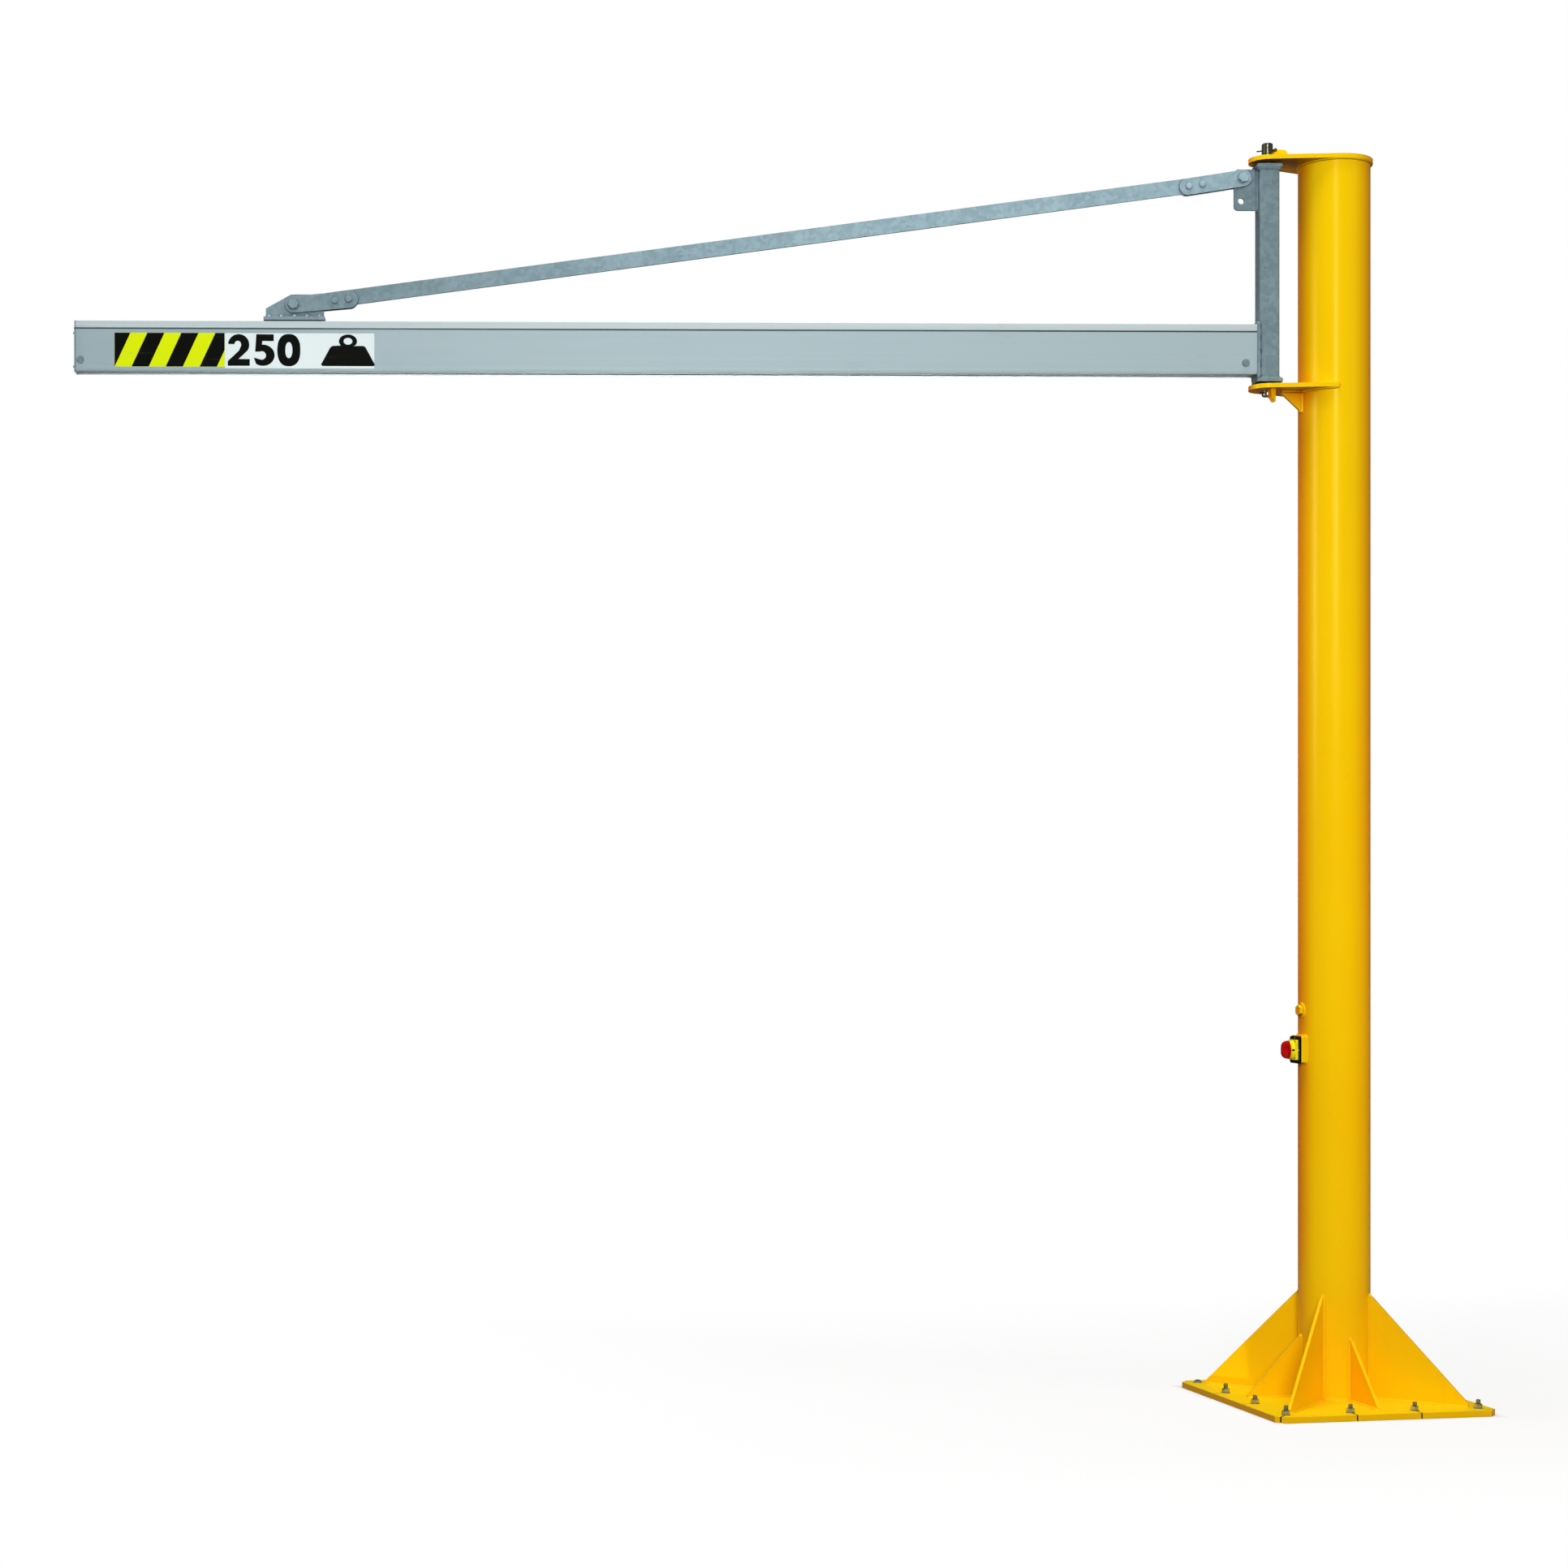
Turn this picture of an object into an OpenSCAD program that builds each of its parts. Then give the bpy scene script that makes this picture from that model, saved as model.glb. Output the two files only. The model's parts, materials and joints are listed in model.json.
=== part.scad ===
// Pillar-mounted jib crane: yellow tube pillar on an anchored base plate, an
// overbraced hollow-section jib on two hinge brackets, and a rotary isolator.
// Millimetres. Origin: centre of the base plate's underside. +Z is up, the
// hinge brackets point towards -X, and the plate's sides follow X and Y.

/* [Pillar] */
// Outer diameter of the pillar tube
column_od = 244.5;          // [168.3:0.1:406.4]
// Wall of the pillar tube
column_wall = 6.3;          // [5:0.1:12]
// Side of the square base plate
base_side = 800;            // [500:10:1200]
// Thickness of the base plate
base_thickness = 20;        // [12:1:40]
// Corner chamfer of the base plate
base_chamfer = 28;          // [0:1:40]

/* [Anchor holes] */
// Distance between the outer anchor holes, along each side
anchor_span = 700;          // [400:10:1100]
// Anchor hole diameter
anchor_hole = 18;           // [12:1:30]
// Width of the grout slit from each hole to the plate's edge
slit_width = 6;             // [2:0.5:8]

/* [Gussets] */
// Thickness of the eight base gussets
gusset_thickness = 10;      // [6:1:20]
// Radius that a corner gusset reaches from the pillar's axis
corner_gusset_reach = 463;  // [300:1:500]
// Height of a corner gusset above the base plate
corner_gusset_height = 353; // [200:1:500]
// Radius that a side gusset reaches from the pillar's axis
side_gusset_reach = 324;    // [200:1:380]
// Height of a side gusset above the base plate
side_gusset_height = 207;   // [100:1:350]

/* [Hinge brackets] */
// Underside height of the top bracket, which closes the pillar
top_bracket_z = 4305;       // [3000:5:6000]
// Underside height of the lower bracket
lower_bracket_z = 3516;     // [2500:1:5500]
// Thickness of both bracket plates
bracket_thickness = 15;     // [10:1:25]
// Radius of the bracket plates around the pillar
bracket_radius = 130;       // [125:1:160]
// Radius of the bracket plates around the hinge axis
bracket_nose_radius = 64;   // [50:1:90]
// Hinge axis, measured from the pillar's axis
pivot_offset = 250;         // [200:1:350]
// Hinge pin diameter
pin_diameter = 38;          // [25:1:60]
// Diameter of the bores that turn on the hinge pins
pin_bore = 38.1;            // [25.1:0.05:60.1]

/* [Jib] */
// Direction of the jib at rest, turned about the hinge axis
jib_angle = 170;            // [45:1:315]
// Size of the square hinge tube
hinge_tube_size = 70;       // [50:5:120]
// Wall of the hinge tube
hinge_tube_wall = 5;        // [3:0.5:10]
// Free end of the beam, from the hinge axis
beam_reach = 4126;          // [2000:1:6000]
// Height of the beam section
beam_height = 174.5;        // [120:0.5:240]
// Width of the beam section
beam_width = 70;            // [50:1:120]
// Wall of the beam section
beam_wall = 4.5;            // [3:0.5:8]
// Width of the trolley slot under the beam
slot_width = 22;            // [12:1:40]
// Height of the beam's top face
beam_top_z = 3740.5;        // [2600:0.5:5600]

/* [Tie] */
// Height of the flat tie bar
tie_height = 52;            // [30:1:80]
// Thickness of the tie bar, the lug and the bracket plate
tie_thickness = 12;         // [8:1:20]
// Height of the link plates
link_height = 57;           // [40:1:80]
// Thickness of one link plate
link_thickness = 8;         // [5:1:12]
// Distance between the end radii of a link plate
link_length = 194;          // [120:1:300]
// Upper tie pivot, out from the hinge axis
upper_pivot_x = 88;         // [70:1:150]
// Upper tie pivot height
upper_pivot_z = 4251;       // [3000:1:5500]
// Lower tie pivot, out from the hinge axis
lower_pivot_x = 3378;       // [1500:1:4500]
// Lower tie pivot height
lower_pivot_z = 3802;       // [3000:1:5500]
// Diameter of the spare hole in the tie lug
spare_hole = 22;            // [12:1:30]

/* [Isolator switch] */
// Height of the switch above the floor
switch_z = 1225.5;          // [900:0.5:1700]
// Turn of the switch about the pillar, away from the bracket direction
switch_turn = -6;           // [-60:1:60]
// Side of the square switch frame
switch_side = 94;           // [80:1:120]
// Diameter of the rotary grip
grip_size = 64;             // [40:1:66]

/* [Hidden] */
$fn = 96;
column_r = column_od / 2;
base_top = base_thickness;
lower_top = lower_bracket_z + bracket_thickness;
cap_size = 90;
cap_thickness = 12;
washer_r = 32;
washer_lift = 0.3;
top_washer_t = 10;
lower_washer_z = lower_top + washer_lift;
lower_cap_z = lower_top + 10;
tube_z0 = lower_cap_z + cap_thickness;
top_washer_z = top_bracket_z - 0.5 - top_washer_t;
tube_z1 = top_washer_z - cap_thickness;
end_plate_t = 10;
beam_x0 = hinge_tube_size / 2 + end_plate_t;
beam_bottom_z = beam_top_z - beam_height;
tie_angle = atan((upper_pivot_z - lower_pivot_z) / (lower_pivot_x - upper_pivot_x));
upper_link_angle = 9;
lower_link_angle = 5.3;
top_pin_z0 = 4240;
top_split_z = 4349.5;
lower_split_z = lower_bracket_z - 9;
plug_z = 1363;
plug_reach = 137;
adapter_reach = 134;
adapter_side = 93;
adapter_lift = 2.7;
frame_depth = 7.5;
plate_side = switch_side - 24;
plate_depth = 17;
collar_depth = 13;
grip_gap = 0.4;
grip_disc = 5;
grip_depth = 21;
grip_z0 = adapter_reach + plate_depth + collar_depth + grip_gap;
foot_x0 = 3269;
foot_x1 = 3480;
foot_spacer_t = 4;
foot_t = 12;
foot_top = beam_top_z + foot_spacer_t + foot_t;
stop_inner_x = 84;
stop_outer_x = 4109;
stop_z = 3605;

yellow = [0.93, 0.70, 0.03];
galvanised = [0.50, 0.56, 0.58];
aluminium = [0.68, 0.73, 0.76];
zinc = [0.75, 0.74, 0.68];

// ---- helpers -------------------------------------------------------------

// rectangle with true round corners, centred
module rounded(w, h, r) {
    square([w - 2 * r, h], center = true);
    square([w, h - 2 * r], center = true);
    for (sx = [-1, 1], sy = [-1, 1])
        translate([sx * (w / 2 - r), sy * (h / 2 - r)]) circle(r = r);
}

// the jib's own frame: x out along the jib, y across it, z up
module jib() {
    translate([-pivot_offset, 0, 0]) rotate([0, 0, jib_angle]) children();
}

// a flat plate drawn as (x, z), centred across the jib at y
module upright(t, y = 0) {
    translate([0, y + t / 2, 0]) rotate([90, 0, 0]) linear_extrude(t) children();
}

// a bar along x with its section drawn as (y, z)
module along(x0, x1) {
    translate([x0, 0, 0]) rotate([90, 0, 90]) linear_extrude(x1 - x0) children();
}

module pillar_surface(extra = 0) {
    translate([0, 0, -50]) cylinder(r = column_r + extra, h = top_bracket_z + 100);
}

// ---- base ----------------------------------------------------------------

module anchor_points() {
    for (i = [-1.5:1:1.5], j = [-1.5:1:1.5])
        if (abs(i) == 1.5 || abs(j) == 1.5)
            translate([i * anchor_span / 3, j * anchor_span / 3]) children();
}

// slit from a hole centre straight to the nearest edge or corner
module slits() {
    third = anchor_span / 3;
    out = base_side / 2 + 5 - anchor_span / 2;
    for (a = [0:90:270]) rotate(a) {
        for (s = [-0.5, 0.5])
            translate([s * third, anchor_span / 2 + out / 2])
                square([slit_width, out], center = true);
        rotate(45)
            translate([0, anchor_span / 2 * sqrt(2) + out * 0.75])
                square([slit_width, out * 1.5], center = true);
    }
}

module base_plate() {
    s = base_side / 2;
    c = base_chamfer;
    color(yellow) linear_extrude(base_thickness) difference() {
        polygon([[s - c, -s], [s, -s + c], [s, s - c], [s - c, s],
                 [-s + c, s], [-s, s - c], [-s, -s + c], [-s + c, -s]]);
        anchor_points() circle(d = anchor_hole, $fn = 48);
        slits();
    }
}

module column_tube() {
    color(yellow) translate([0, 0, base_top]) difference() {
        cylinder(r = column_r, h = top_bracket_z - base_top);
        translate([0, 0, -1])
            cylinder(r = column_r - column_wall, h = top_bracket_z - base_top + 2);
    }
}

// gusset drawn as (radius, z), turned to its angle about the pillar
module base_gusset(a, reach, height, nose, flat) {
    color(yellow) rotate([0, 0, a]) difference() {
        upright(gusset_thickness)
            polygon([[column_r - 6, base_top], [reach, base_top], [reach, base_top + nose],
                     [column_r + flat, base_top + height], [column_r - 6, base_top + height]]);
        pillar_surface();
    }
}

module corner_gusset(i) {
    base_gusset(45 + 90 * i, corner_gusset_reach, corner_gusset_height, 13, 12);
}

module side_gusset(i) {
    base_gusset(90 * i, side_gusset_reach, side_gusset_height, 8, 10);
}

module corner_gusset_1() corner_gusset(1);
module corner_gusset_2() corner_gusset(2);
module corner_gusset_3() corner_gusset(3);
module corner_gusset_4() corner_gusset(4);
module side_gusset_1() side_gusset(1);
module side_gusset_2() side_gusset(2);
module side_gusset_3() side_gusset(3);
module side_gusset_4() side_gusset(4);

// ---- hinge brackets ------------------------------------------------------

// two discs joined by straight sides along their common tangents, bored for the pin
module bracket_blank(z) {
    f = (bracket_radius - bracket_nose_radius) / pivot_offset;
    g = sqrt(1 - f * f);
    translate([0, 0, z]) difference() {
        union() {
            cylinder(r = bracket_radius, h = bracket_thickness, $fn = 144);
            translate([-pivot_offset, 0, 0])
                cylinder(r = bracket_nose_radius, h = bracket_thickness);
            linear_extrude(bracket_thickness)
                polygon([[-bracket_radius * f, -bracket_radius * g],
                         [-bracket_radius * f, bracket_radius * g],
                         [-pivot_offset - bracket_nose_radius * f, bracket_nose_radius * g],
                         [-pivot_offset - bracket_nose_radius * f, -bracket_nose_radius * g]]);
        }
        translate([-pivot_offset, 0, -1])
            cylinder(d = pin_diameter, h = bracket_thickness + 2);
    }
}

module top_bracket() {
    color(yellow) bracket_blank(top_bracket_z);
}

// the lower bracket stops short of the pillar's axis and is notched around the tube
module lower_bracket() {
    end_x = -43;
    color(yellow) difference() {
        bracket_blank(lower_bracket_z);
        translate([end_x, -bracket_radius - 10, lower_bracket_z - 1])
            cube([bracket_radius * 2, bracket_radius * 2 + 20, bracket_thickness + 2]);
        pillar_surface();
    }
}

module lower_bracket_gusset() {
    color(yellow) difference() {
        rotate([0, 0, 180]) upright(12)
            polygon([[column_r - 8, lower_bracket_z], [198, lower_bracket_z],
                     [198, lower_bracket_z - 8], [column_r + 8, lower_bracket_z - 66],
                     [column_r + 8, lower_bracket_z - 72], [column_r - 8, lower_bracket_z - 72]]);
        pillar_surface();
    }
}

module top_keeper() {
    z = top_bracket_z + bracket_thickness;
    color(yellow) rotate([0, 0, 180]) upright(12)
        polygon([[228, z], [176, z], [176, z + 20], [180, z + 29], [188, z + 34], [228, z + 34]]);
}

module lower_keeper() {
    color(yellow) rotate([0, 0, 180]) translate([0, 34.5, 0]) upright(25)
        polygon([[257, lower_bracket_z], [241, lower_bracket_z],
                 [241, lower_bracket_z - 45], [245, lower_bracket_z - 45],
                 [257, lower_bracket_z - 29]]);
}

module hinge_pin(z0, z1) {
    r = pin_diameter / 2;
    translate([-pivot_offset, 0, 0]) rotate_extrude()
        polygon([[0, z0], [r - 3, z0], [r, z0 + 3], [r, z1 - 3], [r - 3, z1], [0, z1]]);
}

// cross hole for the split pin, through a hinge pin
module cross_hole(z, a, r) {
    translate([-pivot_offset, 0, z]) rotate([0, 0, a]) rotate([0, 90, 0])
        cylinder(r = r, h = 80, center = true, $fn = 32);
}

module top_pin() {
    color(zinc) difference() {
        hinge_pin(top_pin_z0, top_bracket_z + bracket_thickness + 53);
        cross_hole(top_split_z, 150, 2.7);
    }
}

module lower_pin() {
    color(zinc) difference() {
        hinge_pin(lower_bracket_z - 21, lower_bracket_z + 90);
        cross_hole(lower_split_z, 200, 2.7);
    }
}

// split pin: a shank with an eye at one end
module split_pin(z, a) {
    translate([-pivot_offset, 0, z]) rotate([0, 0, a]) {
        translate([-24, 0, 0]) rotate([0, 90, 0]) cylinder(r = 2.4, h = 60, $fn = 32);
        translate([-27, 0, 0]) rotate([90, 0, 0]) rotate_extrude($fn = 48)
            translate([4.2, 0]) circle(r = 2.2, $fn = 24);
    }
}

module top_split_pin() color(zinc) split_pin(top_split_z, 150);
module lower_split_pin() color(zinc) split_pin(lower_split_z, 200);

// ---- blanking plug and isolator switch -----------------------------------

module blanking_plug() {
    color(yellow) difference() {
        translate([0, 0, plug_z]) rotate([0, -90, 0]) {
            cylinder(d = 42, h = plug_reach - 11);
            cylinder(d = 39.3, h = plug_reach, $fn = 6);
        }
        pillar_surface();
    }
}

// the switch's own frame: x up, y across, z out from the pillar's axis
module at_switch() {
    rotate([0, 0, switch_turn]) translate([0, 0, switch_z]) rotate([0, -90, 0]) children();
}

// welded box, open at the back and through the front behind the switch
module switch_adapter() {
    wall = 5;
    inside = adapter_side - 2 * wall;
    opening = switch_side - 18;
    color(yellow) difference() {
        at_switch() difference() {
            linear_extrude(adapter_reach)
                translate([adapter_lift, 0]) rounded(adapter_side, adapter_side, 4);
            translate([0, 0, -1]) linear_extrude(adapter_reach - wall + 1)
                translate([adapter_lift, 0]) rounded(inside, inside, 3);
            linear_extrude(adapter_reach + 1) rounded(opening, opening, 3);
        }
        pillar_surface();
    }
}

module switch_frame() {
    color([0.03, 0.03, 0.03]) at_switch() translate([0, 0, adapter_reach])
        linear_extrude(frame_depth) difference() {
            rounded(switch_side, switch_side, 10);
            rounded(plate_side, plate_side, 4);
        }
}

// raised square plate with a round collar
module switch_plate() {
    color([0.95, 0.90, 0.05]) at_switch() translate([0, 0, adapter_reach]) {
        linear_extrude(plate_depth) rounded(plate_side, plate_side, 4);
        translate([0, 0, plate_depth]) cylinder(r1 = 33, r2 = 31.5, h = collar_depth);
    }
}

// round-backed bar grip on a disc, turning about the switch's axis
module switch_grip() {
    back_r = 40;
    color([0.72, 0.03, 0.02]) at_switch() translate([0, 0, grip_z0]) {
        cylinder(d = grip_size, h = grip_disc);
        translate([0, 0, grip_disc]) intersection() {
            linear_extrude(grip_depth) rounded(grip_size - 2, 20, 6);
            rotate([90, 0, 0]) translate([0, grip_depth - back_r, 0])
                cylinder(r = back_r, h = 40, center = true, $fn = 120);
        }
    }
}

// ---- jib -----------------------------------------------------------------

module hinge_tube() {
    color(galvanised) jib() translate([0, 0, tube_z0]) linear_extrude(tube_z1 - tube_z0)
        difference() {
            rounded(hinge_tube_size, hinge_tube_size, 9);
            rounded(hinge_tube_size - 2 * hinge_tube_wall,
                    hinge_tube_size - 2 * hinge_tube_wall, 4);
        }
}

module hinge_cap(z) {
    color(galvanised) jib() translate([0, 0, z]) linear_extrude(cap_thickness) difference() {
        rounded(cap_size, cap_size, 12);
        circle(d = pin_bore);
    }
}

module top_cap() hinge_cap(tube_z1);
module lower_cap() hinge_cap(lower_cap_z);

module bearing_washer(z, t) {
    color([0.18, 0.19, 0.20]) jib() translate([0, 0, z]) linear_extrude(t) difference() {
        circle(r = washer_r);
        circle(d = pin_bore);
    }
}

module top_washer() bearing_washer(top_washer_z, top_washer_t);
module lower_washer() bearing_washer(lower_washer_z, lower_cap_z - lower_washer_z);

module tie_lug() {
    z0 = 4141;
    z1 = tube_z1;
    x0 = hinge_tube_size / 2;
    x1 = 116;
    color(galvanised) jib() upright(tie_thickness) difference() {
        union() {
            translate([x0, z0]) square([x1 - x0 - 14, z1 - z0]);
            translate([x0, z0 + 14]) square([x1 - x0, z1 - z0 - 28]);
            for (z = [z0 + 14, z1 - 14]) translate([x1 - 14, z]) circle(r = 14);
        }
        translate([upper_pivot_x, upper_pivot_z]) circle(r = 10.5, $fn = 48);
        translate([92, 4173]) circle(d = spare_hole, $fn = 48);
    }
}

module beam_end_plate() {
    top = beam_top_z + 4.5;
    color(galvanised) jib() along(hinge_tube_size / 2, beam_x0)
        translate([0, (top + tube_z0) / 2]) rounded(82, top - tube_z0, 5);
}

// hollow extrusion, open along a slot underneath for the trolley
module beam_section() {
    h = beam_height;
    w = beam_width;
    lip = 6;
    groove_low = 4;
    groove_high = 27;
    translate([0, beam_bottom_z]) difference() {
        translate([0, h / 2]) rounded(w, h, 3);
        difference() {
            translate([-w / 2 + beam_wall, lip]) square([w - 2 * beam_wall, h - 2 * lip]);
            // ribs behind the grooves
            for (s = [-1, 1], z = [groove_low, h - groove_high])
                translate([s * (w / 2 - beam_wall - 1), z]) square([4, 12], center = true);
        }
        translate([-slot_width / 2, -1]) square([slot_width, lip + 2]);
        for (s = [-1, 1], z = [groove_low, h - groove_high])
            translate([s * w / 2, z]) square([5, 5.5], center = true);
    }
}

module stop_hole(x) {
    translate([x, 0, stop_z]) rotate([90, 0, 0])
        cylinder(r = 6.5, h = beam_width + 20, center = true, $fn = 48);
}

module beam() {
    color(aluminium) jib() difference() {
        along(beam_x0, beam_reach) beam_section();
        stop_hole(stop_inner_x);
        stop_hole(stop_outer_x);
    }
}

module beam_end_cap() {
    color(aluminium) jib() along(beam_reach, beam_reach + 5)
        translate([0, beam_bottom_z + beam_height / 2]) rounded(beam_width, beam_height, 3);
}

// hex bolt drawn along z from the face of a plate stack, grip long
module hex_bolt(d, grip, washer_d, washer_t, tail) {
    head = d * 1.5 * 2 / sqrt(3);
    rotate([0, 0, 11]) translate([0, 0, grip / 2 + washer_t])
        cylinder(d = head, h = d * 0.62, $fn = 6);
    for (s = [-1, 1])
        translate([0, 0, s * (grip / 2 + washer_t / 2)])
            cylinder(d = washer_d, h = washer_t, center = true);
    translate([0, 0, -grip / 2 - washer_t - d * 0.8])
        cylinder(d = head, h = d * 0.8, $fn = 6);
    translate([0, 0, -grip / 2 - washer_t - d * 0.8 - tail])
        cylinder(d = d, h = grip + 2 * washer_t + d * 0.8 + tail + 1, $fn = 48);
}

module end_stop(x) {
    color(zinc) jib() translate([x, 0, stop_z]) rotate([-90, 0, 0]) {
        hex_bolt(12, beam_width, 28, 2.5, 4);
        cylinder(d = 30, h = beam_width - 2 * beam_wall, center = true);
    }
}

module inner_end_stop() end_stop(stop_inner_x);
module outer_end_stop() end_stop(stop_outer_x);

// ---- tie -----------------------------------------------------------------

module tie_foot() {
    color(galvanised) jib() {
        translate([(foot_x0 + foot_x1) / 2, 0, beam_top_z]) linear_extrude(foot_spacer_t)
            square([foot_x1 - foot_x0 - 2, beam_width - 6], center = true);
        translate([(foot_x0 + foot_x1) / 2, 0, beam_top_z + foot_spacer_t])
            linear_extrude(foot_t)
                rounded(foot_x1 - foot_x0, beam_width, 5);
    }
}

module tie_bracket_plate() {
    color(galvanised) jib() upright(tie_thickness) difference() {
        polygon([[3273, foot_top], [3474, foot_top], [3474, 3789], [3387, 3838], [3273, 3838]]);
        translate([lower_pivot_x, lower_pivot_z]) circle(r = 10.5, $fn = 48);
    }
}

module tie_bar() {
    x0 = 136;
    x1 = 3262;
    zc = upper_pivot_z - (x0 - upper_pivot_x) * tan(tie_angle);
    color(galvanised) jib() upright(tie_thickness)
        translate([x0, zc]) rotate(-tie_angle)
            translate([0, -tie_height / 2]) square([(x1 - x0) / cos(tie_angle), tie_height]);
}

// link plate: two round ends, with a pivot hole at its own origin
module link_outline() {
    difference() {
        union() {
            circle(d = link_height);
            translate([link_length, 0]) circle(d = link_height);
            translate([0, -link_height / 2]) square([link_length, link_height]);
        }
        circle(r = 10.5, $fn = 48);
    }
}

module upper_link(side) {
    color(galvanised) jib() upright(link_thickness, side * (tie_thickness + link_thickness) / 2)
        translate([upper_pivot_x, upper_pivot_z]) rotate(-upper_link_angle) link_outline();
}

module lower_link(side) {
    color(galvanised) jib() upright(link_thickness, side * (tie_thickness + link_thickness) / 2)
        translate([lower_pivot_x, lower_pivot_z]) rotate(180 - lower_link_angle)
            link_outline();
}

module upper_link_front() upper_link(1);
module upper_link_back() upper_link(-1);
module lower_link_front() lower_link(1);
module lower_link_back() lower_link(-1);

module tie_bolt(x, z) {
    color(zinc) jib() translate([x, 0, z]) rotate([-90, 0, 0])
        hex_bolt(20, tie_thickness + 2 * link_thickness, 37, 3, 6);
}

module upper_tie_bolt() tie_bolt(upper_pivot_x, upper_pivot_z);
module lower_tie_bolt() tie_bolt(lower_pivot_x, lower_pivot_z);

// ---- assembly ------------------------------------------------------------

base_plate();
column_tube();
corner_gusset_1();
corner_gusset_2();
corner_gusset_3();
corner_gusset_4();
side_gusset_1();
side_gusset_2();
side_gusset_3();
side_gusset_4();
top_bracket();
lower_bracket();
lower_bracket_gusset();
top_keeper();
lower_keeper();
top_pin();
lower_pin();
top_split_pin();
lower_split_pin();
blanking_plug();
switch_adapter();
switch_frame();
switch_plate();
switch_grip();
hinge_tube();
top_cap();
lower_cap();
top_washer();
lower_washer();
tie_lug();
beam_end_plate();
beam();
beam_end_cap();
inner_end_stop();
outer_end_stop();
tie_foot();
tie_bracket_plate();
tie_bar();
upper_link_front();
upper_link_back();
lower_link_front();
lower_link_back();
upper_tie_bolt();
lower_tie_bolt();
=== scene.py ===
"""Finishes and fittings of a pillar-mounted slewing jib crane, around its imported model.

Metres throughout. Row frame: +Z up the pillar, hinge brackets towards -X. Jib frame: x out
along the jib from the hinge axis, y across it, z the height above the floor. Switch frame:
x up, y across, z out from the pillar's axis.
"""

import json
import math
import random

import bmesh
import bpy
from bpy.props import (FloatProperty, FloatVectorProperty, IntProperty, PointerProperty,
                       StringProperty)
from mathutils import Matrix, Vector, noise
from mathutils.geometry import tessellate_polygon


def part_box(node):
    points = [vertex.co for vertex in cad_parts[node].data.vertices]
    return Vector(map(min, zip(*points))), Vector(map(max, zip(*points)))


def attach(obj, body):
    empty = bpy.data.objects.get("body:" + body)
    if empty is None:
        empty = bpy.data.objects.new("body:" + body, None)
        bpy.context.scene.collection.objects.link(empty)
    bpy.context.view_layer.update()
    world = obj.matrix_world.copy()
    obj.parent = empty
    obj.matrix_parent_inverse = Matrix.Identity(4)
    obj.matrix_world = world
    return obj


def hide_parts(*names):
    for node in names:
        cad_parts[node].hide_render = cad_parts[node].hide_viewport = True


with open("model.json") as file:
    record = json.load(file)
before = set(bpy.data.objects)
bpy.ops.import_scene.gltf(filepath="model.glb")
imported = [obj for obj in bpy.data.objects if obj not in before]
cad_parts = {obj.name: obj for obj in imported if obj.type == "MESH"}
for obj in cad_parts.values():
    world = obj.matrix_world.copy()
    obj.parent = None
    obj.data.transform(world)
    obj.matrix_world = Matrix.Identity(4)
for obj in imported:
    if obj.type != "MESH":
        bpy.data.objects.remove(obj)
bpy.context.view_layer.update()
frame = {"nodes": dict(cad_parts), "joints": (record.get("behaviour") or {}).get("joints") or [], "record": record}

bl_info = {
    "name": "Jib Crane Finish",
    "version": (1, 0, 0),
    "blender": (4, 5, 0),
    "location": "View3D > Sidebar > Jib Crane",
    "description": "Finishes, fixings, welds and markings of a pillar jib crane",
    "category": "Object",
}

NODES = frame["nodes"]
OUT, ACROSS, UP = Vector((1, 0, 0)), Vector((0, 1, 0)), Vector((0, 0, 1))
TAU = 2 * math.pi
MM = 0.001
BEAD_STEP, FINE_STEP = 0.0016, 0.001  # spacing of a weld's sections


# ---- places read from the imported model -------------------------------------


def joint(name):
    return next(j for j in frame["joints"] if j["name"] == name)


def middle(node):
    low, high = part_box(node)
    return (low + high) / 2


def extent(node, direction):
    """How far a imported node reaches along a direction, from the row frame's origin."""
    return max(v.co.dot(direction) for v in NODES[node].data.vertices)


def heading(angle):
    return Vector((math.cos(angle), math.sin(angle), 0))


HINGE = Vector((joint("slew")["pos_m"][0], joint("slew")["pos_m"][1], 0))
JIB_TURN = math.atan2(*(middle("beam_end_cap") - HINGE).yx)
JIB = Matrix.Translation(HINGE) @ Matrix.Rotation(JIB_TURN, 4, "Z")
TO_JIB = JIB.inverted()

SWITCH_OUT = -Vector(joint("isolator")["axis"]).normalized()
SWITCH = Matrix.Translation((0, 0, joint("isolator")["pos_m"][2])) @ Matrix(
    (UP, SWITCH_OUT.cross(UP), SWITCH_OUT)).transposed().to_4x4()
TO_SWITCH = SWITCH.inverted()

PILLAR_R = extent("column_tube", OUT)
FOOT_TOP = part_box("base_plate")[1].z


def skin(across):
    """How far out the pillar's skin lies, at a distance to the side of its axis."""
    return math.sqrt(PILLAR_R ** 2 - across ** 2)


def spots(node, into=TO_JIB):
    """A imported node's points, in the jib frame or another."""
    return [into @ v.co for v in NODES[node].data.vertices]


def turned_box(node, into=TO_JIB):
    """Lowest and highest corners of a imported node, in the jib frame or another."""
    points = spots(node, into)
    return tuple(Vector([f(p[i] for p in points) for i in range(3)]) for f in (min, max))


# ---- shader expressions ------------------------------------------------------


def srgb(red, green, blue, level=1.0):
    """Linear colour from 8-bit display values, with an optional gain."""

    def linear(c):
        c /= 255
        return c / 12.92 if c <= 0.04045 else ((c + 0.055) / 1.055) ** 2.4

    return tuple(linear(c) * level for c in (red, green, blue)) + (1.0,)


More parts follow.
